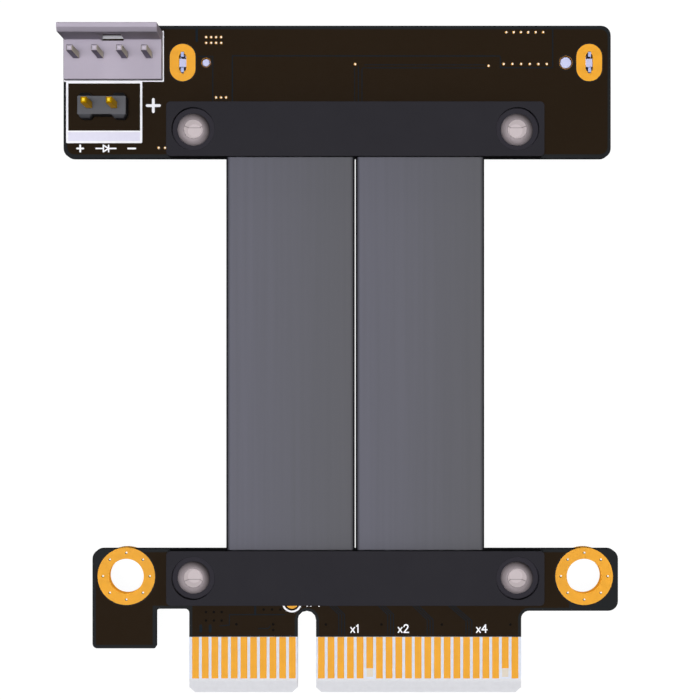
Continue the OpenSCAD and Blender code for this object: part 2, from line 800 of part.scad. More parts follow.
// Power header: base round the pins, back wall with a chamfered top, and a window for a plug's latch
module power_header_housing() {
  window_bite = 0.15;
  color(lilac)
    difference() {
      translate([power_x - power_w / 2, power_face_y, 0])
        rotate([90, 0, 90])
          linear_extrude(power_w)
            polygon([
              [-power_base_d, 0], [power_wall_t, 0], [power_wall_t, power_wall_h],
              [power_chamfer, power_wall_h], [0, power_wall_h - power_chamfer],
              [0, power_base_h], [-power_base_d, power_base_h]
            ]);
      translate([power_x - window_w / 2, power_face_y - window_bite, -over])
        cube([window_w, power_wall_t + window_bite + over, window_h + over]);
      at_power_pins() pin_hole(power_base_h);
    }
}

// Lug of the light header: tapered in plan, with a top that slopes down outward
module light_lug() {
  tip_w = lug_w - 0.5;
  side_y = light_w / 2;
  tip_y = side_y + lug_out;
  intersection() {
    linear_extrude(light_h)
      polygon([
        [-lug_w / 2, 0], [lug_w / 2, 0], [lug_w / 2, side_y],
        [tip_w / 2, tip_y], [-tip_w / 2, tip_y], [-lug_w / 2, side_y]
      ]);
    rotate([90, 0, 90])
      linear_extrude(lug_w, center = true)
        polygon([[0, 0], [tip_y, 0], [tip_y, light_h - lug_out], [side_y, light_h], [0, light_h]]);
  }
}

// Light header: a plain bar with a lug near each end of both long sides
module light_header_body() {
  color([0.35, 0.35, 0.37])
    difference() {
      union() {
        translate([light_x - light_l / 2, light_y - light_w / 2, 0]) cube([light_l, light_w, light_h]);
        at_pair(light_l - lug_w - 2 * lug_inset, light_y, light_x)
          for (s = [0, 1]) mirror([0, s, 0]) light_lug();
      }
      at_light_pins() pin_hole(light_h);
    }
}

// Solder that fills a pin's hole and stands as a cone behind the board
module solder_joint() {
  difference() {
    union() {
      translate([0, 0, rear_z - solder_h])
        cylinder(r1 = pin_hole_r, r2 = solder_r, h = solder_h);
      translate([0, 0, rear_z - over / 2]) cylinder(r = pin_hole_r, h = board_t + over / 2);
    }
    translate([-pin_w / 2, -pin_w / 2, rear_z - 2 * solder_h])
      cube([pin_w, pin_w, board_t + 4 * solder_h]);
  }
}

module pin_solder_joints() {
  color(tin) {
    at_power_pins() solder_joint();
    at_light_pins() solder_joint();
  }
}

card_board();
card_board_plating();
card_fingers_front();
card_fingers_rear();
card_clamp_front();
card_clamp_rear();
card_clamp_rivets();
card_wire_ends();
ribbon_left();
ribbon_right();
drive_board();
drive_board_plating();
drive_clamp_front();
drive_clamp_rear();
drive_clamp_rivets();
drive_wire_ends();
receptacle_housing();
receptacle_signal_contacts();
receptacle_power_contacts();
receptacle_lane_contacts();
receptacle_board_locks();
power_header_housing();
power_header_pins();
light_header_body();
light_header_pins();
pin_solder_joints();
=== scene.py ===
"""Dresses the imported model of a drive-to-card ribbon adapter for a look from straight above."""

import logging
import math
from collections.abc import Iterator, Sequence
from contextlib import contextmanager
from dataclasses import dataclass
from enum import Enum

import bmesh
import bpy
from mathutils import Matrix, Vector


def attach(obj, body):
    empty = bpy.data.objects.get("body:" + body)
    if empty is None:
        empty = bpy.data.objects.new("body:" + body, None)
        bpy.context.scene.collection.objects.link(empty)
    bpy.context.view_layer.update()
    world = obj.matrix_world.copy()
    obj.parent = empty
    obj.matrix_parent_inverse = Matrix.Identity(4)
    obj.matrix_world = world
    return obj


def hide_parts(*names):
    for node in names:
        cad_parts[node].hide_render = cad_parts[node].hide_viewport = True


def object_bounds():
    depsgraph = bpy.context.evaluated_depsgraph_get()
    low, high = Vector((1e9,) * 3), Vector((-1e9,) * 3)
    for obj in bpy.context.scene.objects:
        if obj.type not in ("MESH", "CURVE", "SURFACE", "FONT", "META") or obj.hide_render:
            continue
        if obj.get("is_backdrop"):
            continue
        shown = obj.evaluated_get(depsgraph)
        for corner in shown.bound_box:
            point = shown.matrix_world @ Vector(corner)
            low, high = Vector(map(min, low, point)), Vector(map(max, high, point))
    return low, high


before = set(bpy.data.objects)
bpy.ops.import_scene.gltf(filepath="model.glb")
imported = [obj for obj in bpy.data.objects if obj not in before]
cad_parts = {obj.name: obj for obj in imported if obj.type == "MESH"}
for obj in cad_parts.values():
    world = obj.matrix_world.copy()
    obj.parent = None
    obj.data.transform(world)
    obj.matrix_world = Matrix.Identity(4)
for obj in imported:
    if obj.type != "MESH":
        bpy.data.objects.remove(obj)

Point = tuple[float, float]
Triple = tuple[float, float, float]
Loop = list[Point]
Lines = Sequence[tuple[Sequence[Point], float]]
Colour = tuple[int, int, int]
Socket = bpy.types.NodeSocket
Value = Colour | float | Socket
Mesh = bpy.types.Mesh

MM = 0.001
MM_PER_M = 1000.0
FULL = 255
# Blender's wave texture shows this many metres a band at a scale of 1
WAVE_BAND = math.tau / 20
# a place that no piece reaches, for a zone that a board doesn't have
NOWHERE_MM = -99.0
CLOTH_PITCH_MM = 0.45
WIRE_PITCH_MM = 0.78
RECEPTACLE_MIDDLE = (3.17, 53.07)
LOCK_HALF = 21.0

log = logging.getLogger("ribbon_adapter")


class Face(Enum):
    """A board's two faces, by the way each looks along Z."""

    FRONT = 1
    REAR = -1

    @property
    def level(self) -> float:
        """Height of this face's bare surface in mm."""
        return 0.0 if self is Face.FRONT else -1.6

    def span(self, start: float, end: float) -> Point:
        """Turns two heights above this face into a low and a high level.

        Args:
            start: Height in mm above the face where a layer begins.
            end: Height in mm above the face where it ends.

        Returns:
            The lower and the higher level in the shared frame, in mm.
        """
        a, b = self.level + self.value * start, self.level + self.value * end
        return min(a, b), max(a, b)


class Row(Enum):
    """The two clamped joints, by the name that their nodes begin with."""

    CARD = "card"
    DRIVE = "drive"

    @property
    def y(self) -> float:
        """Middle of this joint's bars along Y in mm."""
        return 0.0 if self is Row.CARD else 46.0


def linear(colour: Colour) -> tuple[float, float, float, float]:
    """Turns a colour as a screen shows it into the linear values that a shader takes.

    Args:
        colour: Red, green and blue from 0 to 255.

    Returns:
        Linear red, green, blue and an alpha of 1.
    """
    parts = [c / FULL for c in colour]
    return (*[p / 12.92 if p <= 0.04045 else ((p + 0.055) / 1.055) ** 2.4 for p in parts], 1.0)


def near(colour: Colour, factor: float) -> Colour:
    """Gives a neighbour of a colour, lighter for a factor above 1 and darker below it."""
    r, g, b = (min(FULL, round(c * factor)) for c in colour)
    return r, g, b


class Recipe:
    """One material's node tree, with short ways to add what the finishes share."""

    def __init__(self, name: str) -> None:
        """Starts a material with only a shader and its output.

        Args:
            name: Name of the material.
        """
        self.material = bpy.data.materials.new(name)
        self.material.use_nodes = True
        self.tree = self.material.node_tree
        self.tree.nodes.clear()
        self.shader = self.add("ShaderNodeBsdfPrincipled")
        output = self.add("ShaderNodeOutputMaterial")
        self.plug(self.shader.outputs["BSDF"], output.inputs["Surface"])

    def add(self, kind: str, **settings: object) -> bpy.types.Node:
        """Adds a node and sets its properties.

        Args:
            kind: Blender's name of the node's type.
            **settings: Properties of the node and their values.

        Returns:
            The new node.
        """
        node = self.tree.nodes.new(kind)
        for key, value in settings.items():
            setattr(node, key, value)
        return node

    def plug(self, value: Value, target: Socket) -> None:
        """Links a socket to an input, or sets the input where the value is the same all over.

        Args:
            value: A socket, a colour as a screen shows it, or a number.
            target: The input.
        """
        if isinstance(value, Socket):
            self.tree.links.new(value, target)
        else:
            target.default_value = linear(value) if isinstance(value, tuple) else value

    def feed(self, key: str, value: Value) -> None:
        """Gives one of the shader's own inputs its value or its pattern."""
        self.plug(value, self.shader.inputs[key])

    def surface(self, colour: Colour, rough: float, gloss: float, metal: float = 0.0) -> None:
        """Sets the values that are the same all over.

        Args:
            colour: Base colour as a screen shows it.
            rough: Roughness from 0 to 1.
            gloss: Level of the plain reflection, where 0.5 is common plastic.
            metal: Metallic share from 0 to 1.
        """
        self.feed("Base Color", colour)
        self.feed("Roughness", rough)
        self.feed("Metallic", metal)
        self.feed("Specular IOR Level", gloss)

    def place(self) -> Socket:
        """Gives the place in the shared frame, in metres."""
        return self.add("ShaderNodeTexCoord").outputs["Object"]

    def part(self, vector: Socket, name: str) -> Socket:
        """Gives the X, Y or Z part of a vector.

        Args:
            vector: The vector.
            name: X, Y or Z.

        Returns:
            The part.
        """
        split = self.add("ShaderNodeSeparateXYZ")
        self.plug(vector, split.inputs["Vector"])
        return split.outputs[name]

    def axis(self, name: str) -> Socket:
        """Gives one coordinate of the place in metres."""
        return self.part(self.place(), name)

    def normal(self, name: str) -> Socket:
        """Gives the share of the surface's normal along one axis."""
        return self.part(self.add("ShaderNodeNewGeometry").outputs["Normal"], name)

    def noise(self, grain_mm: float, detail: float = 3.0,
              scale: Triple = (1.0, 1.0, 1.0)) -> Socket:
        """Adds a soft random pattern.

        Args:
            grain_mm: Size of one grain in mm.
            detail: How many finer layers it has.
            scale: Factors for X, Y and Z, where a small one draws streaks along that axis.

        Returns:
            The pattern, from 0 to 1.
        """
        mapping = self.add("ShaderNodeMapping")
        mapping.inputs["Scale"].default_value = scale
        self.plug(self.place(), mapping.inputs["Vector"])
        node = self.add("ShaderNodeTexNoise")
        node.inputs["Scale"].default_value = MM_PER_M / grain_mm
        node.inputs["Detail"].default_value = detail
        self.plug(mapping.outputs["Vector"], node.inputs["Vector"])
        return node.outputs["Fac"]

    def wave(self, pitch_mm: float, axis: str) -> Socket:
        """Adds even bands across one axis.

        Args:
            pitch_mm: Distance between two bands in mm.
            axis: X, Y or Z, the axis that the bands cross.

        Returns:
            The bands, from 0 to 1.
        """
        node = self.add("ShaderNodeTexWave", wave_type="BANDS", bands_direction=axis)
        node.inputs["Scale"].default_value = WAVE_BAND * MM_PER_M / pitch_mm
        self.plug(self.place(), node.inputs["Vector"])
        return node.outputs["Fac"]

    def math(self, operation: str, first: Socket, second: Socket | float | None = None) -> Socket:
        """Adds one step of arithmetic.

        Args:
            operation: Blender's name of the operation.
            first: First value.
            second: Second value, where the operation has one.

        Returns:
            The result.
        """
        node = self.add("ShaderNodeMath", operation=operation)
        self.plug(first, node.inputs[0])
        if second is not None:
            self.plug(second, node.inputs[1])
        return node.outputs[0]

    def ramp(self, value: Socket, low: float, high: float, start: float = 0.0,
             end: float = 1.0) -> Socket:
        """Maps a range of values onto another one and clamps it.

        Args:
            value: The socket to map.
            low: Value that gives start.
            high: Value that gives end.
            start: Result at low.
            end: Result at high.

        Returns:
            The mapped value.
        """
        node = self.add("ShaderNodeMapRange")
        for key, number in (("From Min", low), ("From Max", high), ("To Min", start),
                            ("To Max", end)):
            node.inputs[key].default_value = number
        self.plug(value, node.inputs["Value"])
        return node.outputs["Result"]

    def band(self, value: Socket, low_mm: float, high_mm: float, soft_mm: float = 0.01) -> Socket:
        """Picks the zone between two places along an axis.

        Args:
            value: Coordinate in metres.
            low_mm: Lower end in mm.
            high_mm: Upper end in mm.
            soft_mm: Width of each soft end in mm.

        Returns:
            1 inside the zone and 0 outside it.
        """
        rise = self.ramp(value, (low_mm - soft_mm) * MM, low_mm * MM)
        fall = self.ramp(value, high_mm * MM, (high_mm + soft_mm) * MM, 1.0, 0.0)
        return self.math("MULTIPLY", rise, fall)

    def facing(self, name: str, low: float, high: float, start: float = 0.0,
               end: float = 1.0) -> Socket:
        """Tells faces that look along one axis, either way, from the others.

        Args:
            name: X, Y or Z.
            low: Share of the normal along it that gives start.
            high: Share that gives end.
            start: Result on faces that don't look along the axis.
            end: Result on faces that do.

        Returns:
            The result on each face.
        """
        return self.ramp(self.math("ABSOLUTE", self.normal(name)), low, high, start, end)

    def upright(self, start: float = 0.2, end: float = 0.6) -> Socket:
        """Gives 1 on a side face and 0 on a level one, between two shares of the normal."""
        return self.facing("Z", start, end, 1.0, 0.0)

    def turned_away(self) -> Socket:
        """Gives 1 on a face to the far right, 0 to the near left, and a little on a level one."""
        return self.ramp(self.math("ADD", self.normal("X"), self.normal("Y")), -0.3, 1.1)

    def tint(self, share: Socket, first: Colour | Socket, second: Colour | Socket) -> Socket:
        """Mixes two colours.

        Args:
            share: How much of the second colour shows, from 0 to 1.
            first: A colour, or the socket that gives it.
            second: A colour, or the socket that gives it.

        Returns:
            The mixed colour.
        """
        node = self.add("ShaderNodeMix", data_type="RGBA")
        self.plug(share, node.inputs["Factor"])
        for key, colour in (("A", first), ("B", second)):
            self.plug(colour, next(s for s in node.inputs if s.name == key and s.type == "RGBA"))
        return next(s for s in node.outputs if s.type == "RGBA")

    def mottled(self, pattern: Socket, colour: Colour, shades: Point) -> Socket:
        """Lets a pattern move a colour between a darker and a lighter neighbour."""
        return self.tint(pattern, near(colour, shades[0]), near(colour, shades[1]))

    def rough(self, value: Socket, low: float, high: float) -> None:
        """Lets a pattern vary the roughness between two values."""
        self.feed("Roughness", self.ramp(value, 0.0, 1.0, low, high))

    def bump(self, height: Socket, depth_mm: float, strength: float) -> None:
        """Adds relief on top of what is there already.

        Args:
            height: Pattern from 0 to 1.
            depth_mm: Depth of the full pattern in mm.
            strength: Share of the relief that shows.
        """
        node = self.add("ShaderNodeBump")
        node.inputs["Distance"].default_value = depth_mm * MM
        node.inputs["Strength"].default_value = strength
        self.plug(height, node.inputs["Height"])
        normal = self.shader.inputs["Normal"]
        if normal.is_linked:
            self.plug(normal.links[0].from_socket, node.inputs["Normal"])
        self.plug(node.outputs["Normal"], normal)

    def weave(self, depth_mm: float, strength: float) -> None:
        """Adds the relief of a board's glass cloth, along both of its threads."""
        for axis in ("X", "Y"):
            self.bump(self.wave(CLOTH_PITCH_MM, axis), depth_mm, strength)


@dataclass(frozen=True)
class Finish:
    """What all finishes share: a name, a main colour, and a material made from them."""

    name: str
    colour: Colour

    def material(self) -> bpy.types.Material:
        """Builds the material.

        Returns:
            The material.
        """
        recipe = Recipe(self.name)
        self.mix(recipe)
        return recipe.material

    def mix(self, recipe: Recipe) -> None:
        """Stops the script where a kind of finish doesn't say what it is made of."""
        raise NotImplementedError(self.name)


@dataclass(frozen=True)
class MouldedPlastic(Finish):
    """Plastic from a mould, with a fine grain, a slightly cloudy colour and painted shade on its
    sides.
    """

    rough: float = 0.5
    gloss: float = 0.2
    cloud_mm: float = 3.5
    shades: Point = (0.96, 1.04)
    grain_mm: float = 0.09
    grain_depth_mm: float = 0.004
    rough_reach: float = 0.07
    # painted shade: side faces take this share of the colour, and faces turned to the far side the
    # far share
    side_share: float = 0.9
    side_until: float = 0.3
    level_from: float = 0.98
    far_share: float = 1.0
    far_from: Point = (0.3, 0.6)

    def mix(self, recipe: Recipe) -> None:
        """Adds the cloudy colour with its zones, and the grain.

        Args:
            recipe: The material's node tree.
        """
        recipe.surface(self.colour, self.rough, self.gloss)
        cloudy = recipe.mottled(recipe.noise(self.cloud_mm), self.colour, self.shades)
        recipe.feed("Base Color", self.zones(recipe, cloudy))
        grain = recipe.noise(self.grain_mm, 2.0)
        recipe.rough(grain, self.rough - self.rough_reach, self.rough + self.rough_reach)
        recipe.bump(grain, self.grain_depth_mm, 0.5)

    def zones(self, recipe: Recipe, colour: Socket) -> Socket:
        """Paints shade on the side faces and, where a far share is given, on faces turned to the
        far side.

        Args:
            recipe: The material's node tree.
            colour: Colour of a level face.

        Returns:
            The colour with its zones.
        """
        # painted shade on the side faces, then on faces turned to the far side
        upright = recipe.upright(self.side_until, self.level_from)
        sides = recipe.tint(upright, colour, near(self.colour, self.side_share))
        if self.far_share == 1.0:
            return sides
        far = recipe.ramp(recipe.normal("Y"), *self.far_from)
        return recipe.tint(far, sides, near(self.colour, self.far_share))


@dataclass(frozen=True)
class BarPlastic(MouldedPlastic):
    """Black bar, satin where it is level, with painted near-black shade on its long sides, painted
    shade on its ends and painted light on its recess floors.
    """

    # painted shade and light: near-black on the long sides, a darker tone on the ends, a lighter
    # tone on the recess floors
    side: Colour = (7, 7, 8)
    end_share: float = 0.95
    lift: float = 1.25
    recess_mm: Point = (1.2, 1.4)

    def zones(self, recipe: Recipe, colour: Socket) -> Socket:
        """Paints light on the recess floors, and shade on the long sides and the ends.

        Args:
            recipe: The material's node tree.
            colour: Colour of a level face.

        Returns:
            The colour with its zones.
        """
        # painted light on the recess floors, painted shade on the ends and the long sides
        floors = recipe.band(recipe.axis("Z"), *self.recess_mm)
        ends = recipe.facing("X", 0.6, 0.95)
        return recipe.tint(recipe.upright(),
                           recipe.tint(floors, colour, near(self.colour, self.lift)),
                           recipe.tint(ends, self.side, near(self.colour, self.end_share)))


@dataclass(frozen=True)
class PlatedMetal(Finish):
    """Metal skin with a faint mottle, a fine pickled relief, painted shade on its sides and far
    right faces, and a painted glow on its sides where set.
    """

    rough: float = 0.42
    metal: float = 0.0
    shades: Point = (0.96, 1.04)
    gloss: float = 0.1
    cloud_mm: float = 1.1
    fine_mm: float = 0.06
    rough_reach: float = 0.08
    # painted shade on the sides and on faces turned to the far right, and a painted glow on the
    # sides
    side_share: float = 1.0
    side_glow: float = 0.0
    lee_share: float = 1.0

    def mix(self, recipe: Recipe) -> None:
        """Adds the mottle, the painted shade on the sides and far right faces, the painted glow on
        the sides, and the relief.

        Args:
            recipe: The material's node tree.
        """
        recipe.surface(self.colour, self.rough, self.gloss, self.metal)
        cloud = recipe.mottled(recipe.noise(self.cloud_mm, 2.0), self.colour, self.shades)
        # painted shade on the side faces and on faces turned to the far right
        sides = recipe.upright()
        body = recipe.tint(sides, cloud, near(self.colour, self.side_share))
        if self.lee_share < 1.0:
            body = recipe.tint(recipe.turned_away(), body, near(self.colour, self.lee_share))
        recipe.feed("Base Color", body)
        # painted glow on the side faces
        if self.side_glow:
            recipe.feed("Emission Color", self.colour)
            recipe.feed("Emission Strength", recipe.math("MULTIPLY", sides, self.side_glow))
        fine = recipe.noise(self.fine_mm, 2.0)
        recipe.rough(fine, self.rough - self.rough_reach, self.rough + self.rough_reach)
        recipe.bump(fine, 0.002, 0.4)


@dataclass(frozen=True)
class HeaderPin(Finish):
    """Square pin cut from drawn wire: its own tone on its end, and painted shade, set by how light
    falls, on each pair of its sides.
    """

    # painted shade: colours of the sides that face along Y and along X, and where a face counts as
    # the end
    near_sides: Colour
    cross_sides: Colour
    level_from: float
    level_reach: float = 0.2
    rough: float = 0.4
    rough_reach: float = 0.05
    shades: Point = (0.97, 1.03)

    def mix(self, recipe: Recipe) -> None:
        """Adds the end's tone, the painted shade on both pairs of sides, and the streaks that
        drawing leaves.

        Args:
            recipe: The material's node tree.
        """
        recipe.surface(self.colour, self.rough, 0.02)
        # painted shade on the sides, one tone for each pair
        drawn = recipe.tint(recipe.facing("X", 0.3, 0.6), self.near_sides, self.cross_sides)
        streaks = recipe.noise(0.15, 2.0, (1.0, 1.0, 0.1))
        end = recipe.mottled(streaks, self.colour, self.shades)
        upright = recipe.upright(self.level_from, self.level_from + self.level_reach)
        recipe.feed("Base Color", recipe.tint(upright, end, drawn))
        recipe.rough(streaks, self.rough - self.rough_reach, self.rough + self.rough_reach)
        recipe.bump(streaks, 0.002, 0.4)


@dataclass(frozen=True)
class RivetBore(Finish):
    """Hollow whose even brightness is a painted glow, with a dark hairline across it.

    The hairline lies at the same distance from the adapter's middle on both joints.
    """

    # painted glow that makes the hollow evenly bright, and the darker hairline in it
    shine_colour: Colour
    shine: float = 0.42
    shades: Point = (0.95, 1.05)
    middle_mm: float = 23.0
    line_mm: float = 23.31
    line_half_mm: float = 0.02
    line_share: float = 0.95
    line_shade: float = 0.4

    def mix(self, recipe: Recipe) -> None:
        """Adds the painted glow with its hairline, and a little relief.

        Args:
            recipe: The material's node tree.
        """
        recipe.surface(self.colour, 0.5, 0.1)
        recipe.feed("Base Color", recipe.mottled(recipe.noise(0.6), self.colour, self.shades))
        offset = recipe.math("SUBTRACT", recipe.axis("Y"), self.middle_mm * MM)
        line = recipe.band(recipe.math("ABSOLUTE", offset), self.line_mm - self.line_half_mm,
                           self.line_mm + self.line_half_mm, self.line_half_mm)
        hair = recipe.ramp(line, 0.0, 1.0, 0.0, self.line_share)
        dark = near(self.shine_colour, self.line_shade)
        # painted glow, darker along the hairline
        recipe.feed("Emission Color", recipe.tint(hair, self.shine_colour, dark))
        recipe.feed("Emission Strength", self.shine)
        recipe.bump(recipe.noise(0.1), 0.002, 0.4)


@dataclass(frozen=True)
class SolderMask(Finish):
    """Lacquer over copper or over bare laminate, with the glass weave just showing in its gloss."""

    rough: float = 0.42
    gloss: float = 0.01
    cloud_mm: float = 6.0
    shades: Point = (0.96, 1.04)

    def mix(self, recipe: Recipe) -> None:
        """Adds the faint clouds, the weave and the lacquer's uneven flow.

        Args:
            recipe: The material's node tree.
        """
        recipe.surface(self.colour, self.rough, self.gloss)
        cloud = recipe.noise(self.cloud_mm, 2.0)
        recipe.feed("Base Color", recipe.mottled(cloud, self.colour, self.shades))
        recipe.weave(0.0025, 0.25)
        recipe.bump(recipe.noise(0.12), 0.002, 0.3)
        recipe.rough(recipe.noise(0.8), self.rough - 0.05, self.rough + 0.06)


@dataclass(frozen=True)
class BareBoard(Finish):
    """Board core: dark lacquered faces, sides layered in plies whose near-black colour is painted
    shade, and pale bare laminate along a card edge.
    """

    # painted shade: near-black colour of the layered sides
    side: Colour = (11, 14, 23)
    laminate: Colour = (221, 222, 227)
    between: Colour = (221, 229, 247)
    mask_end_mm: float = NOWHERE_MM
    finger_end_mm: float = NOWHERE_MM
    edge_half_mm: float = 17.3
    skin_mm: float = 0.02
    ply_mm: float = 0.2
    ply_shades: Point = (0.7, 1.5)

    def mix(self, recipe: Recipe) -> None:
        """Adds the zones, which are set by place in the shared frame, and the weave.

        Args:
            Draws the thin lining of a rivet's hollow, which carries the painted glow and lies just
            inside the steel.
        """
        recipe.surface(self.colour, 0.42, 0.03)
        plies = recipe.ramp(recipe.wave(self.ply_mm, "Z"), 0.2, 0.9)
        core = recipe.band(recipe.axis("Z"), Face.REAR.level + self.skin_mm,
                           Face.FRONT.level - self.skin_mm)
        # painted shade on the sides, layered in plies
        layered = recipe.mottled(plies, self.side, self.ply_shades)
        dark = recipe.tint(core, self.colour, layered)
        along = recipe.axis("Y")
        fingers = recipe.ramp(along, (self.finger_end_mm - 0.05) * MM, self.finger_end_mm * MM)
        strip = recipe.tint(fingers, self.laminate, self.between)
        threads = recipe.ramp(recipe.noise(0.5), 0.3, 0.7, 0.0, 0.5)
        cloth = recipe.tint(threads, strip, near(self.laminate, 0.96))
        below = recipe.ramp(along, (self.mask_end_mm - 0.01) * MM, self.mask_end_mm * MM, 1.0, 0.0)
        beside = recipe.band(recipe.axis("X"), -self.edge_half_mm, self.edge_half_mm)
        bare = recipe.math("MULTIPLY", below, beside)
        recipe.feed("Base Color", recipe.tint(bare, dark, cloth))
        recipe.weave(0.003, 0.3)
        recipe.bump(recipe.noise(0.1), 0.003, 0.4)


@dataclass(frozen=True)
class RibbonJacket(Finish):
    """Flat cable jacket: soft grey with streaks along the wires, with painted light on its left
    side and painted shade towards its right side and on its round edges.
    """

    middle_mm: float
    width_mm: float
    # painted shade: the colour of the right side and the near-black one painted on the round edges
    right: Colour = (95, 95, 100)
    edge: Colour = (26, 26, 30)
    edge_mm: float = 0.15

    def mix(self, recipe: Recipe) -> None:
        """Adds the painted shade across the jacket from left to right, the painted shade on its
        round edges, the streaks and the relief.

        Args:
            recipe: The material's node tree.
        """
        recipe.surface(self.colour, 0.5, 0.02)
        half = self.width_mm / 2
        low = (self.middle_mm - half) * MM
        # painted light on the left side, painted shade towards the right
        across = recipe.ramp(recipe.axis("X"), low, low + self.width_mm * MM)
        shade = recipe.tint(across, self.colour, self.right)
        streaks = recipe.noise(0.5, 4.0, (1.0, 0.012, 1.0))
        shown = recipe.ramp(streaks, 0.35, 0.75, 0.0, 0.3)
        drawn = recipe.tint(shown, shade, near(self.right, 0.95))
        # painted shade on the round edges
        inset, soft = half - 3 * self.edge_mm, 2 * self.edge_mm
        flat = recipe.band(recipe.axis("X"), self.middle_mm - inset, self.middle_mm + inset, soft)
        recipe.feed("Base Color", recipe.tint(recipe.math("POWER", flat, 0.5), self.edge, drawn))
        recipe.bump(streaks, 0.006, 0.5)
        recipe.bump(recipe.wave(WIRE_PITCH_MM, "X"), 0.006, 0.35)
        recipe.bump(recipe.noise(0.07), 0.003, 0.4)
        recipe.rough(streaks, 0.44, 0.58)


@dataclass(frozen=True)
class Ink(Finish):
    """Screen-printed ink, slightly uneven in thickness."""

    shades: Point = (0.98, 1.01)

    def mix(self, recipe: Recipe) -> None:
        """Adds the uneven cover and its relief.

        Args:
            recipe: The material's node tree.
        """
        recipe.surface(self.colour, 0.55, 0.15)
        recipe.feed("Base Color", recipe.mottled(recipe.noise(0.4), self.colour, self.shades))
        recipe.bump(recipe.noise(0.08), 0.003, 0.5)


@dataclass(frozen=True)
class Palette:
    """All finishes of the adapter, built once and shared by its pieces."""

    # both cores paint shade on their sides
    card_core: BareBoard = BareBoard(
        "card_core", (27, 29, 31), mask_end_mm=-6.26, finger_end_mm=-10.56)
    drive_core: BareBoard = BareBoard("drive_core", (27, 29, 31))
    mask: SolderMask = SolderMask("mask_over_copper", (37, 27, 16))
    gap: SolderMask = SolderMask("mask_over_gaps", (24, 31, 38))
    # dark dimples of covered vias, also used as painted shade in the vias round the plated holes
    dimple: SolderMask = SolderMask("mask_dimples", (12, 10, 8))
    gold: PlatedMetal = PlatedMetal("gold_plate", (235, 164, 34))
    # painted glow on the walls of the plated holes
    hole_gold: PlatedMetal = PlatedMetal("hole_gold", (235, 164, 34), side_glow=0.45)
    rim_gold: PlatedMetal = PlatedMetal("rim_gold", (226, 160, 40))
    barrel: PlatedMetal = PlatedMetal("barrel_gold", (176, 116, 34), 0.5)
    # painted light for the floor seen through open vias
    pale: PlatedMetal = PlatedMetal("via_painted_light", (255, 250, 240), 0.5)
    tin: PlatedMetal = PlatedMetal("tin", (205, 205, 210), 0.34, 0.6)
    # pale colour partly painted light for a slot lit without shade, with painted shade on the sides
    lock: PlatedMetal = PlatedMetal("lock_metal", (170, 182, 228), 0.5, side_share=0.5)
    # painted shade on the rivets' faces turned to the far right
    steel: PlatedMetal = PlatedMetal(
        "rivet_steel", (155, 145, 149), 0.5, 0.1, (0.95, 1.05), lee_share=0.5)
    # painted glow inside the rivets' hollows
    bright: RivetBore = RivetBore("rivet_bore", (110, 104, 106), (245, 232, 235))
    # painted shade on the sides of both kinds of pin
    pin_gold: HeaderPin = HeaderPin(
        "pin_gold", (252, 216, 60), (214, 160, 0), (168, 130, 0), 0.72)
    pin_tin: HeaderPin = HeaderPin(
        "pin_tin", (190, 182, 196), (112, 105, 126), (188, 182, 168), 0.2)
    # the bar's finish paints shade on its sides and light on its recess floors
    bar: BarPlastic = BarPlastic("bar_plastic", (43, 42, 47), gloss=0.012)
    ivory: MouldedPlastic = MouldedPlastic("receptacle_plastic", (198, 203, 241), 0.45)
    # painted shade on the sides of the power header's housing
    lilac: MouldedPlastic = MouldedPlastic(
        "power_plastic", (178, 170, 185), gloss=0.04, side_share=0.81, side_until=0.6)
    # painted shade on the sides of the light header's body, and deeper painted shade on faces
    # turned to the far side
    grey: MouldedPlastic = MouldedPlastic(
        "light_plastic", (91, 92, 97), 0.45, 0.04, side_share=0.4, side_until=0.1, far_share=0.3)
    ink: Ink = Ink("white_ink", (248, 248, 254))
    field_ink: Ink = Ink("pale_field_ink", (228, 227, 245))
    stain: Ink = Ink("laminate_stain", (222, 212, 196))


def arc(centre: Point, r: float, start: float, end: float, steps: int = 12) -> Loop:
    """Gives points along an arc.

    Args:
        centre: Middle of the arc in mm.
        r: Radius in mm.
        start: First angle in degrees.
        end: Last angle in degrees.
        steps: Number of pieces.

    Returns:
        The points, both ends among them.
    """
    angles = [math.radians(start + (end - start) * i / steps) for i in range(steps + 1)]
    return [(centre[0] + r * math.cos(a), centre[1] + r * math.sin(a)) for a in angles]


def ring(centre: Point, r: float, steps: int) -> Loop:
    """Gives a closed circle's points."""
    return arc(centre, r, 0, 360, steps)[:-1]


def capsule(start: Point, end: Point, width: float, steps: int) -> Loop:
    """Gives the outline of a line with round ends.

    Args:
        start: First end in mm.
        end: Second end in mm.
        width: Width in mm.
        steps: Pieces in each round end.

    Returns:
        The outline.
    """
    turn = math.degrees(math.atan2(end[1] - start[1], end[0] - start[0]))
    return (arc(end, width / 2, turn - 90, turn + 90, steps)
            + arc(start, width / 2, turn + 90, turn + 270, steps))


def oval(centre: Point, width: float, length: float) -> Loop:
    """Gives the outline of a pad with round ends, longer along Y."""
    reach = (length - width) / 2
    return capsule((centre[0], centre[1] - reach), (centre[0], centre[1] + reach), width, 12)


def box_loop(low: Point, high: Point) -> Loop:
    """Gives a rectangle's corners."""
    return [low, (high[0], low[1]), high, (low[0], high[1])]


def rounded_box(low: Point, high: Point, r: float) -> Loop:
    """Gives a rectangle with round corners.

    Args:
        low: Lower left corner in mm.
        high: Upper right corner in mm.
        r: Radius of the corners in mm.

    Returns:
        The outline.
    """
    corner_turns = (((high[0] - r, high[1] - r), 0), ((low[0] + r, high[1] - r), 90),
                    ((low[0] + r, low[1] + r), 180), ((high[0] - r, low[1] + r), 270))
    return [p for centre, turn in corner_turns for p in arc(centre, r, turn, turn + 90, 6)]


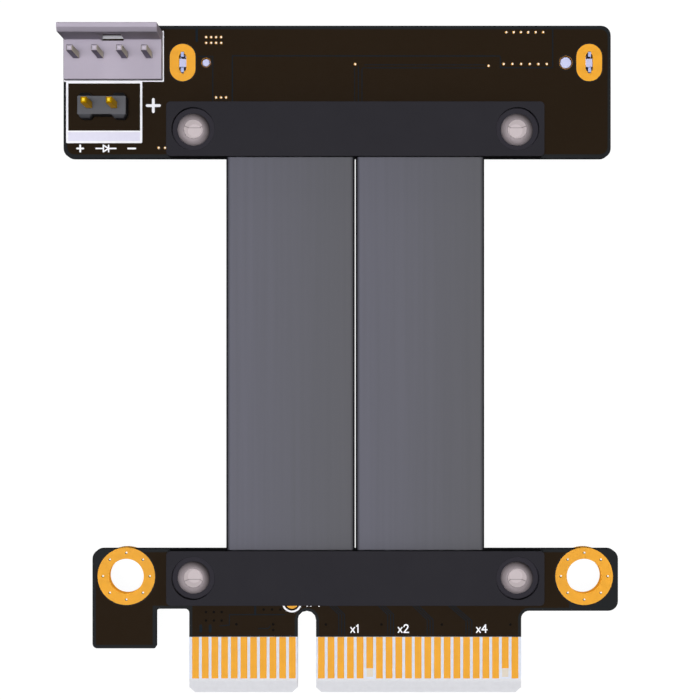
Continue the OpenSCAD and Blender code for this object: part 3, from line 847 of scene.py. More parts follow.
def traced(lines: Lines, steps: int) -> list[Loop]:
    """Gives the outlines of lines with round ends, one for each straight run."""
    return [capsule(a, b, w, steps) for line, w in lines for a, b in zip(line, line[1:])]


def at(lines: Sequence[Sequence[Point]], origin: Point, scale: float,
       width: float) -> list[tuple[Loop, float]]:
    """Places a mark that is drawn one unit high.

    Args:
        lines: The mark's lines in its own units.
        origin: Where its zero point lies, in mm.
        scale: Height in mm.
        width: Width of the lines in mm.

    Returns:
        The lines in mm, each with its width.
    """
    return [([(origin[0] + x * scale, origin[1] + y * scale) for x, y in line], width)
            for line in lines]


def placed(name: str, data: bpy.types.ID) -> bpy.types.Object:
    """Puts an object into the scene.

    Args:
        name: Name of the object.
        data: Its mesh, curve, light or camera.

    Returns:
        The object.
    """
    thing = bpy.data.objects.new(name, data)
    bpy.context.scene.collection.objects.link(thing)
    return thing


def plain_mesh(holder: bpy.types.Object, name: str) -> Mesh:
    """Turns what an object shows, with its modifiers, into a mesh, and removes the object.

    Args:
        holder: The object.
        name: Name of the mesh.

    Returns:
        The mesh.
    """
    bpy.context.view_layer.update()
    graph = bpy.context.evaluated_depsgraph_get()
    mesh = bpy.data.meshes.new_from_object(holder.evaluated_get(graph))
    bpy.data.objects.remove(holder)
    mesh.name = name
    return mesh


@contextmanager
def opened(mesh: Mesh) -> Iterator[bmesh.types.BMesh]:
    """Opens a mesh for changes, and writes them back at the end.

    Args:
        mesh: The mesh.

    Yields:
        Its form that can be changed.
    """
    shape = bmesh.new()
    shape.from_mesh(mesh)
    yield shape
    shape.to_mesh(mesh)
    shape.free()


def mesh_of(name: str, points: list[Triple], faces: list[list[int]]) -> Mesh:
    """Makes a mesh whose faces look outward.

    Args:
        name: Name of the mesh.
        points: Its corners in metres.
        faces: Each face's corners by their place in the list.

    Returns:
        The mesh.
    """
    mesh = bpy.data.meshes.new(name)
    mesh.from_pydata(points, [], faces)
    with opened(mesh) as shape:
        bmesh.ops.recalc_face_normals(shape, faces=shape.faces)
    return mesh


def smoothed(mesh: Mesh, limit: float) -> Mesh:
    """Shades a mesh smooth, with edges sharper than a limit left crisp.

    Args:
        mesh: The mesh.
        limit: Angle in degrees.

    Returns:
        The same mesh.
    """
    with opened(mesh) as shape:
        for face in shape.faces:
            face.smooth = True
        for edge in shape.edges:
            edge.smooth = edge.is_manifold and edge.calc_face_angle(math.pi) < math.radians(limit)
    return mesh


def plate(name: str, loops: Sequence[Loop], low: float, high: float) -> Mesh:
    """Fills an outline with its holes and gives it a thickness.

    Args:
        name: Name of the mesh.
        loops: Outlines and holes in mm, none of which cross.
        low: Lower level in mm.
        high: Upper level in mm.

    Returns:
        The mesh, in metres.
    """
    curve = bpy.data.curves.new(name, "CURVE")
    curve.dimensions = "2D"
    curve.fill_mode = "BOTH"
    curve.extrude = (high - low) / 2
    for loop in loops:
        spline = curve.splines.new("POLY")
        spline.points.add(len(loop) - 1)
        for place, (x, y) in zip(spline.points, loop):
            place.co = (x, y, 0.0, 1.0)
        spline.use_cyclic_u = True
    mesh = plain_mesh(placed(name + "_outline", curve), name)
    mesh.transform(Matrix.Translation((0.0, 0.0, (low + high) / 2)))
    mesh.transform(Matrix.Scale(MM, 4))
    return mesh


def slabs(name: str, loops: Sequence[Loop], low: float, high: float, step: float = 0.0) -> Mesh:
    """Makes one mesh of many small convex slabs, which may touch or cross each other.

    Args:
        name: Name of the mesh.
        loops: Outline of each slab in mm.
        low: Lower level in mm.
        high: Upper level in mm.
        step: Difference in level between slabs that cross, on both sides, in mm.

    Returns:
        The mesh, in metres.
    """
    points: list[Triple] = []
    faces: list[list[int]] = []
    for count, loop in enumerate(loops):
        first, n = len(points), len(loop)
        rise = step * (count % 5)
        for z in (low - rise, high + rise):
            points += [(x * MM, y * MM, z * MM) for x, y in loop]
        faces.append([first + i for i in reversed(range(n))])
        faces.append([first + n + i for i in range(n)])
        faces += [[first + i, first + (i + 1) % n, first + n + (i + 1) % n, first + n + i]
                  for i in range(n)]
    return mesh_of(name, points, faces)


def turned(name: str, profile: Sequence[Point], centres: Sequence[Point], steps: int) -> Mesh:
    """Turns a profile round an upright axis at each of several places.

    Args:
        name: Name of the mesh.
        profile: Radius and height in mm, from the top middle outward and down, or closed.
        centres: Middles in mm.
        steps: Pieces round the axis.

    Returns:
        The mesh, in metres and smooth.
    """
    points: list[Triple] = []
    faces: list[list[int]] = []
    for cx, cy in centres:
        rings: list[list[int]] = []
        for r, z in profile:
            count = 1 if r == 0 else steps
            rings.append([len(points) + i for i in range(count)])
            turns = [math.tau * i / steps for i in range(count)]
            points += [((cx + r * math.cos(t)) * MM, (cy + r * math.sin(t)) * MM, z * MM)
                       for t in turns]
        for a, b in zip(rings, rings[1:]):
            for i in range(steps):
                j = (i + 1) % steps
                if len(a) == 1:
                    faces.append([a[0], b[i], b[j]])
                elif len(b) == 1:
                    faces.append([a[i], b[0], a[j]])
                else:
                    faces.append([a[i], b[i], b[j], a[j]])
    mesh = mesh_of(name, points, faces)
    with opened(mesh) as shape:
        bmesh.ops.remove_doubles(shape, verts=shape.verts, dist=0.0005 * MM)
    return smoothed(mesh, 50.0)


def softened(node: str, name: str, edge_mm: float) -> Mesh:
    """Copies a CAD node's shape, joins its flat triangles, and bevels its sharp edges.

    Args:
        node: The node to copy.
        name: Name of the new mesh.
        edge_mm: Width of the bevel in mm.

    Returns:
        The new mesh, with large faces shaded flat and bevels smooth.
    """
    shape = bmesh.new()
    shape.from_mesh(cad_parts[node].data)
    bmesh.ops.remove_doubles(shape, verts=shape.verts, dist=0.002 * MM)
    bmesh.ops.dissolve_limit(shape, angle_limit=math.radians(0.6), verts=shape.verts,
                             edges=shape.edges, delimit=set())
    sharp = [e for e in shape.edges
             if e.is_manifold and e.calc_face_angle(0.0) > math.radians(38)]
    bmesh.ops.bevel(shape, geom=sharp, offset=edge_mm * MM, segments=1, profile=0.5,
                    affect="EDGES", clamp_overlap=True)
    mesh = bpy.data.meshes.new(name + "_blank")
    shape.to_mesh(mesh)
    shape.free()
    holder = placed(name + "_blank", smoothed(mesh, 40.0))
    weights = holder.modifiers.new("normals", "WEIGHTED_NORMAL")
    weights.keep_sharp = True
    return plain_mesh(holder, name)


class Workshop:
    """Makes each finish's material once, and puts pieces into the scene."""

    def __init__(self) -> None:
        """Starts with no material made."""
        self.made: dict[str, bpy.types.Material] = {}
        self.palette = Palette()

    def finish(self, finish: Finish) -> bpy.types.Material:
        """Gives the material of a finish, made on its first use.

        Args:
            finish: The finish.

        Returns:
            Its material.
        """
        if finish.name not in self.made:
            self.made[finish.name] = finish.material()
        return self.made[finish.name]

    def keep(self, mesh: Mesh, finish: Finish, slot: str, stands_for: Sequence[str] = ()) -> None:
        """Puts a mesh into the scene as a dressed piece on the part's one body.

        Args:
            mesh: The mesh, in metres in the shared frame, which has the piece's name.
            finish: Its finish.
            slot: Material slot of the record; not used.
            stands_for: CAD nodes that the piece stands for.
        """
        piece = placed(mesh.name, mesh)
        mesh.materials.clear()
        mesh.materials.append(self.finish(finish))
        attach(piece, "root")
        if stands_for:
            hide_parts(*stands_for)
        log.info("piece %s: %d faces", piece.name, len(mesh.polygons))

    def lay(self, name: str, loops: Sequence[Loop], span: Point, finish: Finish, slot: str,
            step: float = 0.0) -> None:
        """Makes a piece of slabs between two levels.

        Args:
            name: Name of the piece.
            loops: Outline of each slab in mm.
            span: Lower and upper level in mm.
            finish: Its finish.
            slot: Material slot of the record.
            step: Difference in level between slabs that cross, in mm.
        """
        self.keep(slabs(name, loops, *span, step), finish, slot)

    def dress(self, node: str, finish: Finish) -> None:
        """Gives a CAD node a finish and leaves its shape alone.

        Args:
            node: Name of the node.
            finish: The finish that its material slots take.
        """
        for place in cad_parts[node].material_slots:
            place.material = self.finish(finish)
        log.info("node %s: dressed", node)


@dataclass(frozen=True)
class Lamp:
    """A square soft light that faces the adapter; place and size are in metres."""

    name: str
    place: Triple
    size: float
    watts: float
    colour: Triple

    def hang(self, target: Vector) -> None:
        """Adds the light to the scene.

        Args:
            target: The point that it faces, in metres.
        """
        data = bpy.data.lights.new(self.name, "AREA")
        data.size = self.size
        data.energy = self.watts
        data.color = self.colour
        lamp = placed(self.name, data)
        lamp.location = self.place
        aim = target - Vector(self.place)
        lamp.rotation_euler = aim.to_track_quat("-Z", "Y").to_euler()


@dataclass
class Studio:
    """Pale floor, soft light and the camera that looks straight down as the photograph does."""

    aim_mm: Point = (-0.54, 23.37)
    height_mm: float = 220.0
    lens_mm: float = 109.5
    sensor_mm: float = 36.0
    floor_drop_mm: float = 0.04
    floor_size_m: float = 6.0
    floor_glow: float = 0.97
    floor_colour: Colour = (70, 70, 72)
    lamps: tuple[Lamp, ...] = (
        Lamp("overhead", (-0.02, 0.0, 1.0), 0.22, 7.85, (1.0, 1.0, 1.0)),
        Lamp("left_fill", (-0.72, -0.2, 0.2), 0.4, 1.6, (0.93, 0.92, 1.0)),
        Lamp("right_fill", (0.78, -0.1, 0.16), 0.4, 2.5, (1.0, 0.93, 0.85)),
        Lamp("far_fill", (0.1, 0.85, 0.08), 0.4, 3.2, (1.0, 0.98, 0.96)),
    )
    dome_tint: tuple[float, float, float, float] = (0.97, 0.98, 1.0, 1.0)
    dome_seen: float = 0.93
    dome_top: float = 0.9
    dome_glow: Point = (0.05, 0.13)

    def build(self) -> None:
        """Sets up camera, floor, lights and surroundings."""
        bpy.context.scene.view_settings.view_transform = "Standard"
        self.camera()
        self.floor()
        self.surroundings()
        target = Vector((self.aim_mm[0] * MM, self.aim_mm[1] * MM, 0.0))
        for lamp in self.lamps:
            lamp.hang(target)
        log.info("studio: camera, floor and %d lights", len(self.lamps))

    def camera(self) -> None:
        """Places the camera above the middle of the adapter."""
        data = bpy.data.cameras.new("camera")
        data.lens = self.lens_mm
        data.sensor_width = self.sensor_mm
        camera = placed("camera", data)
        camera.location = (self.aim_mm[0] * MM, self.aim_mm[1] * MM, self.height_mm * MM)
        bpy.context.scene.camera = camera

    def floor(self) -> None:
        """Lays a pale floor just under the lowest point."""
        low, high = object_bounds()
        half = self.floor_size_m / 2
        x, y, z = (low.x + high.x) / 2, (low.y + high.y) / 2, low.z - self.floor_drop_mm * MM
        points = [(px, py, z) for px, py in box_loop((x - half, y - half), (x + half, y + half))]
        mesh = mesh_of("floor", points, [[0, 1, 2, 3]])
        recipe = Recipe("pale_floor")
        recipe.surface(self.floor_colour, 0.9, 0.0)
        recipe.feed("Emission Color", (FULL, FULL, FULL))
        recipe.feed("Emission Strength", self.floor_glow)
        mesh.materials.append(recipe.material)
        floor = placed("floor", mesh)
        floor.visible_diffuse = False
        floor.visible_glossy = False
        floor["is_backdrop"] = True

    def surroundings(self) -> None:
        """Makes a soft dome that is brighter above than below, and pale where it is seen."""
        world = bpy.data.worlds.new("surroundings")
        bpy.context.scene.world = world
        world.use_nodes = True
        tree = world.node_tree
        tree.nodes.clear()
        kinds = ("TexCoord", "SeparateXYZ", "MapRange", "LightPath", "Mix", "Background",
                 "OutputWorld")
        place, split, rise, ray, pick, glow, output = (
            tree.nodes.new("ShaderNode" + kind) for kind in kinds)
        for key, value in (("From Min", 0.0), ("From Max", self.dome_top),
                           ("To Min", self.dome_glow[0]), ("To Max", self.dome_glow[1])):
            rise.inputs[key].default_value = value
        pick.inputs["B"].default_value = self.dome_seen
        glow.inputs["Color"].default_value = self.dome_tint
        for source, target in (
            (place.outputs["Generated"], split.inputs["Vector"]),
            (split.outputs["Z"], rise.inputs["Value"]),
            (rise.outputs["Result"], pick.inputs["A"]),
            (ray.outputs["Is Camera Ray"], pick.inputs["Factor"]),
            (pick.outputs["Result"], glow.inputs["Strength"]),
            (glow.outputs["Background"], output.inputs["Surface"]),
        ):
            tree.links.new(source, target)


@dataclass
class Print:
    """Thin layers on a board's face: lacquered copper, gaps, vias and white ink; sizes in mm."""

    shop: Workshop
    prefix: str
    face: Face
    sink: float = -0.01
    copper: float = 0.03
    gap: float = 0.034
    dimple: float = 0.038
    rim: float = 0.045
    ink: float = 0.052
    core: float = 0.055
    dimple_r: float = 0.13
    via_r: float = 0.145
    via_slope: float = 0.02
    core_r: float = 0.085
    core_shift: float = 0.02
    step: float = 0.0012

    def name(self, label: str) -> str:
        """Gives a piece's full name, with the board and the face."""
        return f"{self.prefix}_{self.face.name.lower()}_{label}"

    def pour(self, loops: Sequence[Loop]) -> None:
        """Lays lacquered copper inside an outline, with holes where the laminate is bare.

        Args:
            loops: Outline first, then holes, in mm.
        """
        mesh = plate(self.name("mask"), loops, *self.face.span(self.sink, self.copper))
        self.shop.keep(mesh, self.shop.palette.mask, "board")

    def gaps(self, lines: Lines) -> None:
        """Draws the grooves between copper areas.

        Args:
            lines: Each line's points and its width in mm.
        """
        self.shop.lay(self.name("grooves"), traced(lines, 4), self.face.span(0.0, self.gap),
                      self.shop.palette.gap, "board", self.step / 2)

    def tented(self, places: Sequence[Point]) -> None:
        """Draws the dimples of vias that the lacquer covers.

        Args:
            places: Middles in mm.
        """
        loops = [ring(p, self.dimple_r, 12) for p in places]
        self.shop.lay(self.name("tented_vias"), loops, self.face.span(0.0, self.dimple),
                      self.shop.palette.dimple, "board")

    def vias(self, places: Sequence[Point]) -> None:
        """Builds open vias as small plated rims with a pale core, painted light that stands for the
        floor seen through the hole.

        Args:
            places: Middles in mm.
        """
        top, foot = self.face.level + self.face.value * self.rim, self.face.level
        bore = 0.8 * self.core_r
        rim = [(bore, foot), (bore, top), (self.via_r - self.via_slope, top), (self.via_r, foot),
               (bore, foot)]
        mesh = turned(self.name("via_rims"), rim, places, 16)
        self.shop.keep(mesh, self.shop.palette.rim_gold, "gold_plate")
        # pale core of painted light where the floor would show through
        loops = [ring((x + self.core_shift, y), self.core_r, 12) for x, y in places]
        self.shop.lay(self.name("via_cores"), loops, self.face.span(0.0, self.core),
                      self.shop.palette.pale, "tin_plate")

    def strokes(self, label: str, lines: Lines) -> None:
        """Prints lines of white ink with round ends.

        Args:
            label: Last part of the piece's name.
            lines: Each line's points and its width in mm.
        """
        self.shop.lay(self.name(label), traced(lines, 6), self.face.span(0.0, self.ink),
                      self.shop.palette.ink, "board", self.step)


@dataclass
class LaneMarks:
    """Plain lane counts beside the fingers, drawn as strokes one unit high."""

    cross: Sequence[Point] = ((0.0, 0.0), (0.48, 0.64), (0.24, 0.32), (0.0, 0.64), (0.48, 0.0))
    one: Sequence[Point] = ((0.75, 0.8), (0.93, 1.0), (0.93, 0.0))
    two: Sequence[Point] = ((0.74, 0.75), (0.83, 0.94), (1.02, 1.0), (1.2, 0.94), (1.27, 0.74),
                            (1.16, 0.5), (0.74, 0.0), (1.35, 0.0))
    four: Sequence[Point] = ((1.17, 0.0), (1.17, 0.98), (0.7, 0.33), (1.36, 0.33))
    foot_y: float = -5.8
    height: float = 0.79
    width: float = 0.135
    inset: float = 0.108

    def mark(self, count: int, left: float) -> list[tuple[Loop, float]]:
        """Gives the strokes of one lane count.

        Args:
            count: 1, 2 or 4.
            left: Left end of the mark in mm.

        Returns:
            The strokes in mm, each with its width.
        """
        digit = {1: self.one, 2: self.two, 4: self.four}[count]
        origin = (left + self.inset, self.foot_y)
        return at([self.cross, digit], origin, self.height, self.width)


@dataclass
class CardBoard:
    """The card end: board, plated holes, fingers, and the layers on both faces; sizes in mm."""

    shop: Workshop
    hole_x: float = 23.65
    ring_r: float = 2.97
    keep_out: float = 0.13
    via_circle: float = 2.42
    key: Point = (-5.0, -4.53)
    key_r: float = 1.25
    test_middle: Point = (-6.54, -2.71)
    test_ring_r: Point = (0.84, 1.03)
    test_pad_r: Point = (0.64, 0.67)
    stub_half: float = 0.33
    stub_y: Point = (-10.42, -9.56)

    def build(self) -> None:
        """Builds every piece of the card end."""
        look = self.shop.palette
        self.shop.dress("card_board", look.card_core)
        self.shop.dress("card_board_plating", look.hole_gold)
        for side in ("front", "rear"):
            self.shop.dress(f"card_fingers_{side}", look.gold)
        for face in Face:
            layers = Print(self.shop, "card", face)
            layers.pour([self.pour_outline()])
            layers.tented(self.tented_places())
            layers.gaps(self.grooves())
            self.hole_vias(face)
        self.front_print()
        self.finger_stubs()

    def pour_outline(self) -> Loop:
        """Draws the copper area, which keeps clear of edges and of both plated holes.

        Returns:
            The outline in mm.
        """
        r = self.ring_r + self.keep_out
        return [
            (-26.8, -7.1), (-20.93, -7.1), (-20.93, -3.05), (-16.83, -3.05), (-16.83, -6.11),
            (-6.25, -6.11), *arc(self.key, self.key_r, 180, 0), (-3.75, -6.11), (16.83, -6.11),
            *arc((17.95, -4.38), 1.12, 180, 90, 6), (22.1, -3.26),
            *arc((self.hole_x, 0.0), r, 240.3, 127.0, 20),
            *arc((-self.hole_x, 0.0), r, 53.0, -192.9, 32), (-26.8, 0.7),
        ]

    def tented_places(self) -> list[Point]:
        """Lists the covered vias.

        Returns:
            Their middles in mm.
        """
        near_left = [(x, y) for x in (-15.42, -14.61, -13.8) for y in (-3.7, -4.58)]
        row = [(x, -3.44) for x in (-9.46, -8.6, -7.73)]
        lone = [(-12.28, -4.97), (-8.47, -4.97), (-8.47, -5.57)]
        return near_left + row + lone + [(x, -4.99) for x in (-3.03, 2.71, 8.94, 16.03)]

    def grooves(self) -> list[tuple[Loop, float]]:
        """Draws the grooves between copper areas, with those that run down to the fingers.

        Returns:
            Each groove's points and its width in mm.
        """
        lines: list[tuple[Loop, float]] = [
            ([(-7.27, -3.97), (-13.0, -3.97), (-13.0, -5.05), (-14.0, -5.12)], 0.1),
            ([(-10.33, -2.9), (-10.33, -3.97)], 0.2),
            ([(-15.96, -5.12), (-15.96, -5.7)], 0.3), ([(-14.99, -5.12), (-14.99, -5.7)], 0.3),
            ([(-10.0, -5.4), (-9.0, -5.4), (-8.75, -5.15)], 0.1),
        ]
        for bend, start, drop in ((-1.4, -2.5, 3.96), (3.66, 2.55, 3.96), (7.74, 6.1, 4.5),
                                  (11.75, 9.75, 4.6)):
            lines += [([(start + s, -2.9), (bend + s, -drop), (bend + s, -6.0)], 0.1)
                      for s in (-0.3, 0.0, 0.3)]
        return lines

    def hole_vias(self, face: Face) -> None:
        """Adds the eight small vias in the copper round each plated hole, each a ring of painted
        shade with a shifted pale core of painted light where the floor would show through.

        Args:
            face: The face that they show on.
        """
        look = self.shop.palette
        places = [(s * self.hole_x + x, y)
                  for s in (-1, 1) for x, y in ring((0.0, 0.0), self.via_circle, 8)]
        # painted shade as a dark ring, and a shifted pale core of painted light where the floor
        # would show through
        for name, r, top, shift, finish in (("bores", 0.13, 0.053, 0.0, look.dimple),
                                            ("cores", 0.095, 0.057, 0.03, look.pale)):
            loops = [ring((x + shift, y + shift), r, 12) for x, y in places]
            self.shop.lay(f"card_{face.name.lower()}_hole_via_{name}", loops,
                          face.span(0.04, top), finish, "gold_plate")

    def front_print(self) -> None:
        """Prints the lane counts, and the ring with its test pad that the bar half covers."""
        layers = Print(self.shop, "card", Face.FRONT)
        marks = LaneMarks()
        strokes = [s for n, x in ((1, -0.56), (2, 4.34), (4, 12.43)) for s in marks.mark(n, x)]
        dots = [([(x, -3.07), (x + 0.01, -3.07)], 0.16) for x in (-4.97, -4.6, -3.75)]
        layers.strokes("lane_counts", strokes + dots)
        middle, (inner, outer) = self.test_middle, self.test_ring_r
        top_r, foot_r = self.test_pad_r
        band = plate("card_test_ring", [ring(middle, outer, 40), ring(middle, inner, 40)],
                     0.0, layers.ink)
        self.shop.keep(band, self.shop.palette.ink, "board")
        pad = turned("card_test_pad", [(0.0, 0.05), (top_r, 0.05), (foot_r, 0.0)], [middle], 32)
        self.shop.keep(pad, self.shop.palette.gold, "gold_plate")

    def finger_stubs(self) -> None:
        """Adds the faint squares where plating stubs end below the two short fingers."""
        low, high = self.stub_y
        loops = [box_loop((x - self.stub_half, low), (x + self.stub_half, high))
                 for x in (1.5, 15.5)]
        self.shop.lay("card_plating_stubs", loops, (-0.01, 0.008), self.shop.palette.stain,
                      "board")


@dataclass
class DriveBoard:
    """The drive end: board, plated slots, vias, grooves and white ink; sizes in mm."""

    shop: Workshop
    low: Point = (-30.14, 43.2)
    high: Point = (26.4, 56.88)
    margin: float = 0.38
    right_margin: float = 0.33
    corner_r: float = 0.75
    middle: Point = RECEPTACLE_MIDDLE
    lock_half: float = LOCK_HALF
    pad: Point = (2.65, 3.85)
    halo: float = 0.13
    via_halo_r: float = 0.235
    peg_half: float = 18.585
    peg_halo_r: Point = (0.62, 0.82)
    barrel_r: Point = (0.5, 0.695)
    barrel_wall: float = 0.04
    foot_pitch: float = 0.8
    foot_w: float = 0.29
    wide_foot_w: float = 0.42

    def build(self) -> None:
        """Builds every piece of the drive end's board."""
        look = self.shop.palette
        self.shop.dress("drive_board", look.drive_core)
        self.shop.dress("drive_board_plating", look.gold)
        for face in Face:
            layers = Print(self.shop, "drive", face)
            layers.pour(self.pour_loops(face))
            layers.gaps(self.grooves() if face is Face.FRONT else self.rear_grooves())
            layers.vias(self.via_places(face))
        self.peg_barrels()
        self.front_print()
        self.rear_print()

    def pour_loops(self, face: Face) -> list[Loop]:
        """Gives the copper area's outline and the rings round pads, pegs and vias.

        Args:
            face: The face that it lies on.

        Returns:
            The outline and then its holes, in mm.
        """
        outline = rounded_box((self.low[0] + self.margin, self.low[1] + self.margin),
                              (self.high[0] - self.right_margin, self.high[1] - self.margin),
                              self.corner_r)
        width, length = self.pad[0] + 2 * self.halo, self.pad[1] + 2 * self.halo
        x, y = self.middle
        holes = [oval((x + s * self.lock_half, y), width, length) for s in (-1, 1)]
        holes += [ring((x + s * self.peg_half, y), r, 24) for s, r in zip((-1, 1), self.peg_halo_r)]
        return [outline, *holes, *[ring(p, self.via_halo_r, 12) for p in self.via_places(face)]]

    def peg_barrels(self) -> None:
        """Lines both peg holes with their thin plated barrels."""
        for label, side, r in zip(("small", "large"), (-1, 1), self.barrel_r):
            inner = r - self.barrel_wall
            profile = [(inner, -1.55), (inner, 0.02), (r, 0.02), (r, -1.55), (inner, -1.55)]
            centre = (self.middle[0] + side * self.peg_half, self.middle[1])
            mesh = turned(f"drive_{label}_peg_barrel", profile, [centre], 40)
            self.shop.keep(mesh, self.shop.palette.barrel, "gold_plate")

    def via_places(self, face: Face) -> list[Point]:
        """Gives the middles of the open vias that a face shows.

        Args:
            face: The face.

        Returns:
            The middles in mm.
        """
        block = [(x, y) for x in (-15.41, -14.89, -14.38, -13.86) for y in (55.69, 55.1)]
        three = [(x, 49.46) for x in (-14.38, -13.86, -13.35)]
        pair = [(-20.31, 44.26), (-19.65, 44.26)]
        top = [(x, 56.2) for x in (15.61, 16.36, 17.11, 17.86, 18.64, 19.42)]
        row = [(x, 52.92) for x in (15.33, 16.23, 17.13, 18.02, 18.92, 19.78)]
        lone = [(-0.01, 52.9), (13.77, 52.73)]
        if face is Face.REAR:
            return three + pair
        return block + three + pair + top + row + lone

    def grooves(self) -> list[tuple[Loop, float]]:
        """Draws the grooves between the front's copper areas.

        Returns:
            Each groove's points and its width in mm.
        """
        return [
            ([(-16.38, 56.5), (-16.38, 55.3)], 0.24),
            ([(-16.2, 53.7), (-14.72, 53.7), (-14.72, 48.9)], 0.1),
            ([(-12.69, 48.9), (-12.69, 53.76), (14.95, 53.74), (15.0, 53.4), (15.0, 52.54),
              (20.4, 52.54), (20.4, 56.5)], 0.11),
            ([(13.4, 52.83), (0.96, 52.83)], 0.08),
            ([(13.4, 52.52), (0.8, 52.52), (0.7, 52.4), (0.7, 48.9)], 0.09),
            ([(-0.06, 52.6), (-0.06, 48.9)], 0.08), ([(0.33, 52.7), (0.33, 48.9)], 0.1),
        ]

    def near_feet(self) -> list[float]:
        """Gives the places along X of the receptacle's forty near feet, in mm."""
        return [self.middle[0] + (i - 19.5) * self.foot_pitch for i in range(40)]

    def rear_grooves(self) -> list[tuple[Loop, float]]:
        """Gives the grooves that fan from the receptacle's near feet to the clamp."""
        return [([(x, 49.35), (x * 0.84, 48.75)], 0.09) for x in self.near_feet()]

    def front_print(self) -> None:
        """Prints the outlines of both headers, the filled bar, and the plus and minus marks."""
        layers = Print(self.shop, "drive", Face.FRONT)
        dash = [(-0.5, 0.0), (0.5, 0.0)]
        plus = [dash, [(0.0, -0.5), (0.0, 0.5)]]
        diode = [[(-1.5, 0.0), (-0.4, 0.0)], [(-0.4, -0.5), (-0.4, 0.5), (0.4, 0.0), (-0.4, -0.5)],
                 [(0.4, -0.5), (0.4, 0.5)], [(0.4, 0.0), (1.5, 0.0)]]
        lines = [
            ([(-19.86, 56.27), (-19.86, 51.17), (-30.0, 51.17)], 0.18),
            ([(-29.9, 55.69), (-19.9, 55.69)], 0.33),
            ([(-29.76, 44.85), (-29.76, 51.02), (-22.11, 51.02), (-22.11, 44.85),
              (-29.76, 44.85)], 0.22),
            ([(-29.77, 45.95), (-22.12, 45.95)], 0.16),
        ]
        for mark, origin, scale, width in ((plus, (-20.86, 48.62), 1.27, 0.29),
                                           (plus, (-28.41, 44.19), 0.64, 0.19),
                                           ([dash], (-23.09, 44.19), 0.74, 0.19),
                                           (diode, (-25.75, 44.19), 0.68, 0.15)):
            lines += at(mark, origin, scale, width)
        layers.strokes("header_outlines", lines)
        self.shop.lay("drive_filled_bar", [box_loop((-29.72, 44.8), (-22.17, 45.95))],
                      (0.0, 0.045), self.shop.palette.field_ink, "board")

    def rear_print(self) -> None:
        """Adds the pads under the receptacle's feet and a printed line at each of its ends."""
        x, y = self.middle
        wide = [x - 15.735 + 1.27 * i for i in range(7)] + [x - 2.045 + 1.27 * i for i in range(15)]
        narrow = [x - 7.08 + self.foot_pitch * i for i in range(6)]
        far = [(p, self.wide_foot_w) for p in wide] + [(p, self.foot_w) for p in narrow]
        loops = [box_loop((p - w, y + 2.7), (p + w, y + 3.58)) for p, w in far]
        loops += [box_loop((p - self.foot_w, y - 3.58), (p + self.foot_w, y - 2.7))
                  for p in self.near_feet()]
        self.shop.lay("drive_foot_pads", loops, Face.REAR.span(0.0, 0.045),
                      self.shop.palette.tin, "tin_plate")
        left, right = x - 23.45, x + 22.9
        ends = [([(left, y + t * 3.0), (left, y + t * 3.3), (left + 4.0, y + t * 3.3)], 0.15)
                for t in (-1, 1)]
        ends += [([(right - 3.6, y + t * 3.3), (right, y + t * 3.3)], 0.15) for t in (-1, 1)]
        Print(self.shop, "drive", Face.REAR).strokes("receptacle_outline", ends)


@dataclass
class Clamp:
    """One clamped joint: two bars and the two rivets that draw them together; sizes in mm."""

    shop: Workshop
    row: Row
    rivet_half: float = 16.6
    edge: float = 0.04
    seat: float = 1.3
    rear_seat: float = -3.4
    shank_r: float = 1.2
    mouth_r: float = 0.98
    rim_r: float = 1.66
    rim_h: float = 0.55
    floor_r: float = 0.7
    floor_z: float = 0.15
    head_h: float = 0.4
    skin: float = 0.02

    def build(self) -> None:
        """Builds the bars and rivets, and dresses the wire ends."""
        look = self.shop.palette
        for side in ("front", "rear"):
            node = f"{self.row.value}_clamp_{side}"
            mesh = softened(node, node + "_bar", self.edge)
            self.shop.keep(mesh, look.bar, "bar_plastic", [node])
        node = f"{self.row.value}_clamp_rivets"
        centres = [(s * self.rivet_half, self.row.y) for s in (-1, 1)]
        rivets = turned(node + "_turned", self.rivet_profile(), centres, 64)
        self.shop.keep(rivets, look.steel, "rivet_steel", [node])
        # a lining that carries the painted glow inside each hollow
        lining = turned(node + "_bores", self.bore_profile(), centres, 64)
        self.shop.keep(lining, look.bright, "rivet_steel")
        self.shop.dress(f"{self.row.value}_wire_ends", look.tin)

    def rivet_profile(self) -> list[Point]:
        """Draws a rivet: floor, tapered hollow, domed rim, shank and flat head.

        Returns:
            Radius and height of each point in mm.
        """
        wide, foot = self.rim_r - self.mouth_r, self.rear_seat - self.head_h
        dome = [(self.mouth_r + wide * math.cos(a), self.seat + self.rim_h * math.sin(a))
                for a in (math.radians(turn) for turn in range(90, -1, -9))]
        head = [(self.rim_r - 0.06, self.rear_seat), (self.rim_r, self.rear_seat - 0.06),
                (self.rim_r, self.rear_seat - 0.3), (self.rim_r - 0.11, foot), (0.0, foot)]
        return [(0.0, self.floor_z), (self.floor_r, self.floor_z), *dome,
                (self.shank_r, self.seat), (self.shank_r, self.rear_seat), *head]

    def bore_profile(self) -> list[Point]:
        """Draws the thin bright lining of a rivet's hollow, which lies just inside the steel.

        Returns:
            Radius and height of each point in mm.
        """
        top, floor, skin = self.seat + self.rim_h - 0.03, self.floor_z, self.skin
        return [(0.0, floor + 2 * skin), (self.floor_r - 2 * skin, floor + 2 * skin),
                (self.mouth_r - 2 * skin, top), (self.mouth_r - skin, top),
                (self.floor_r - skin, floor + skin), (0.0, floor + skin)]


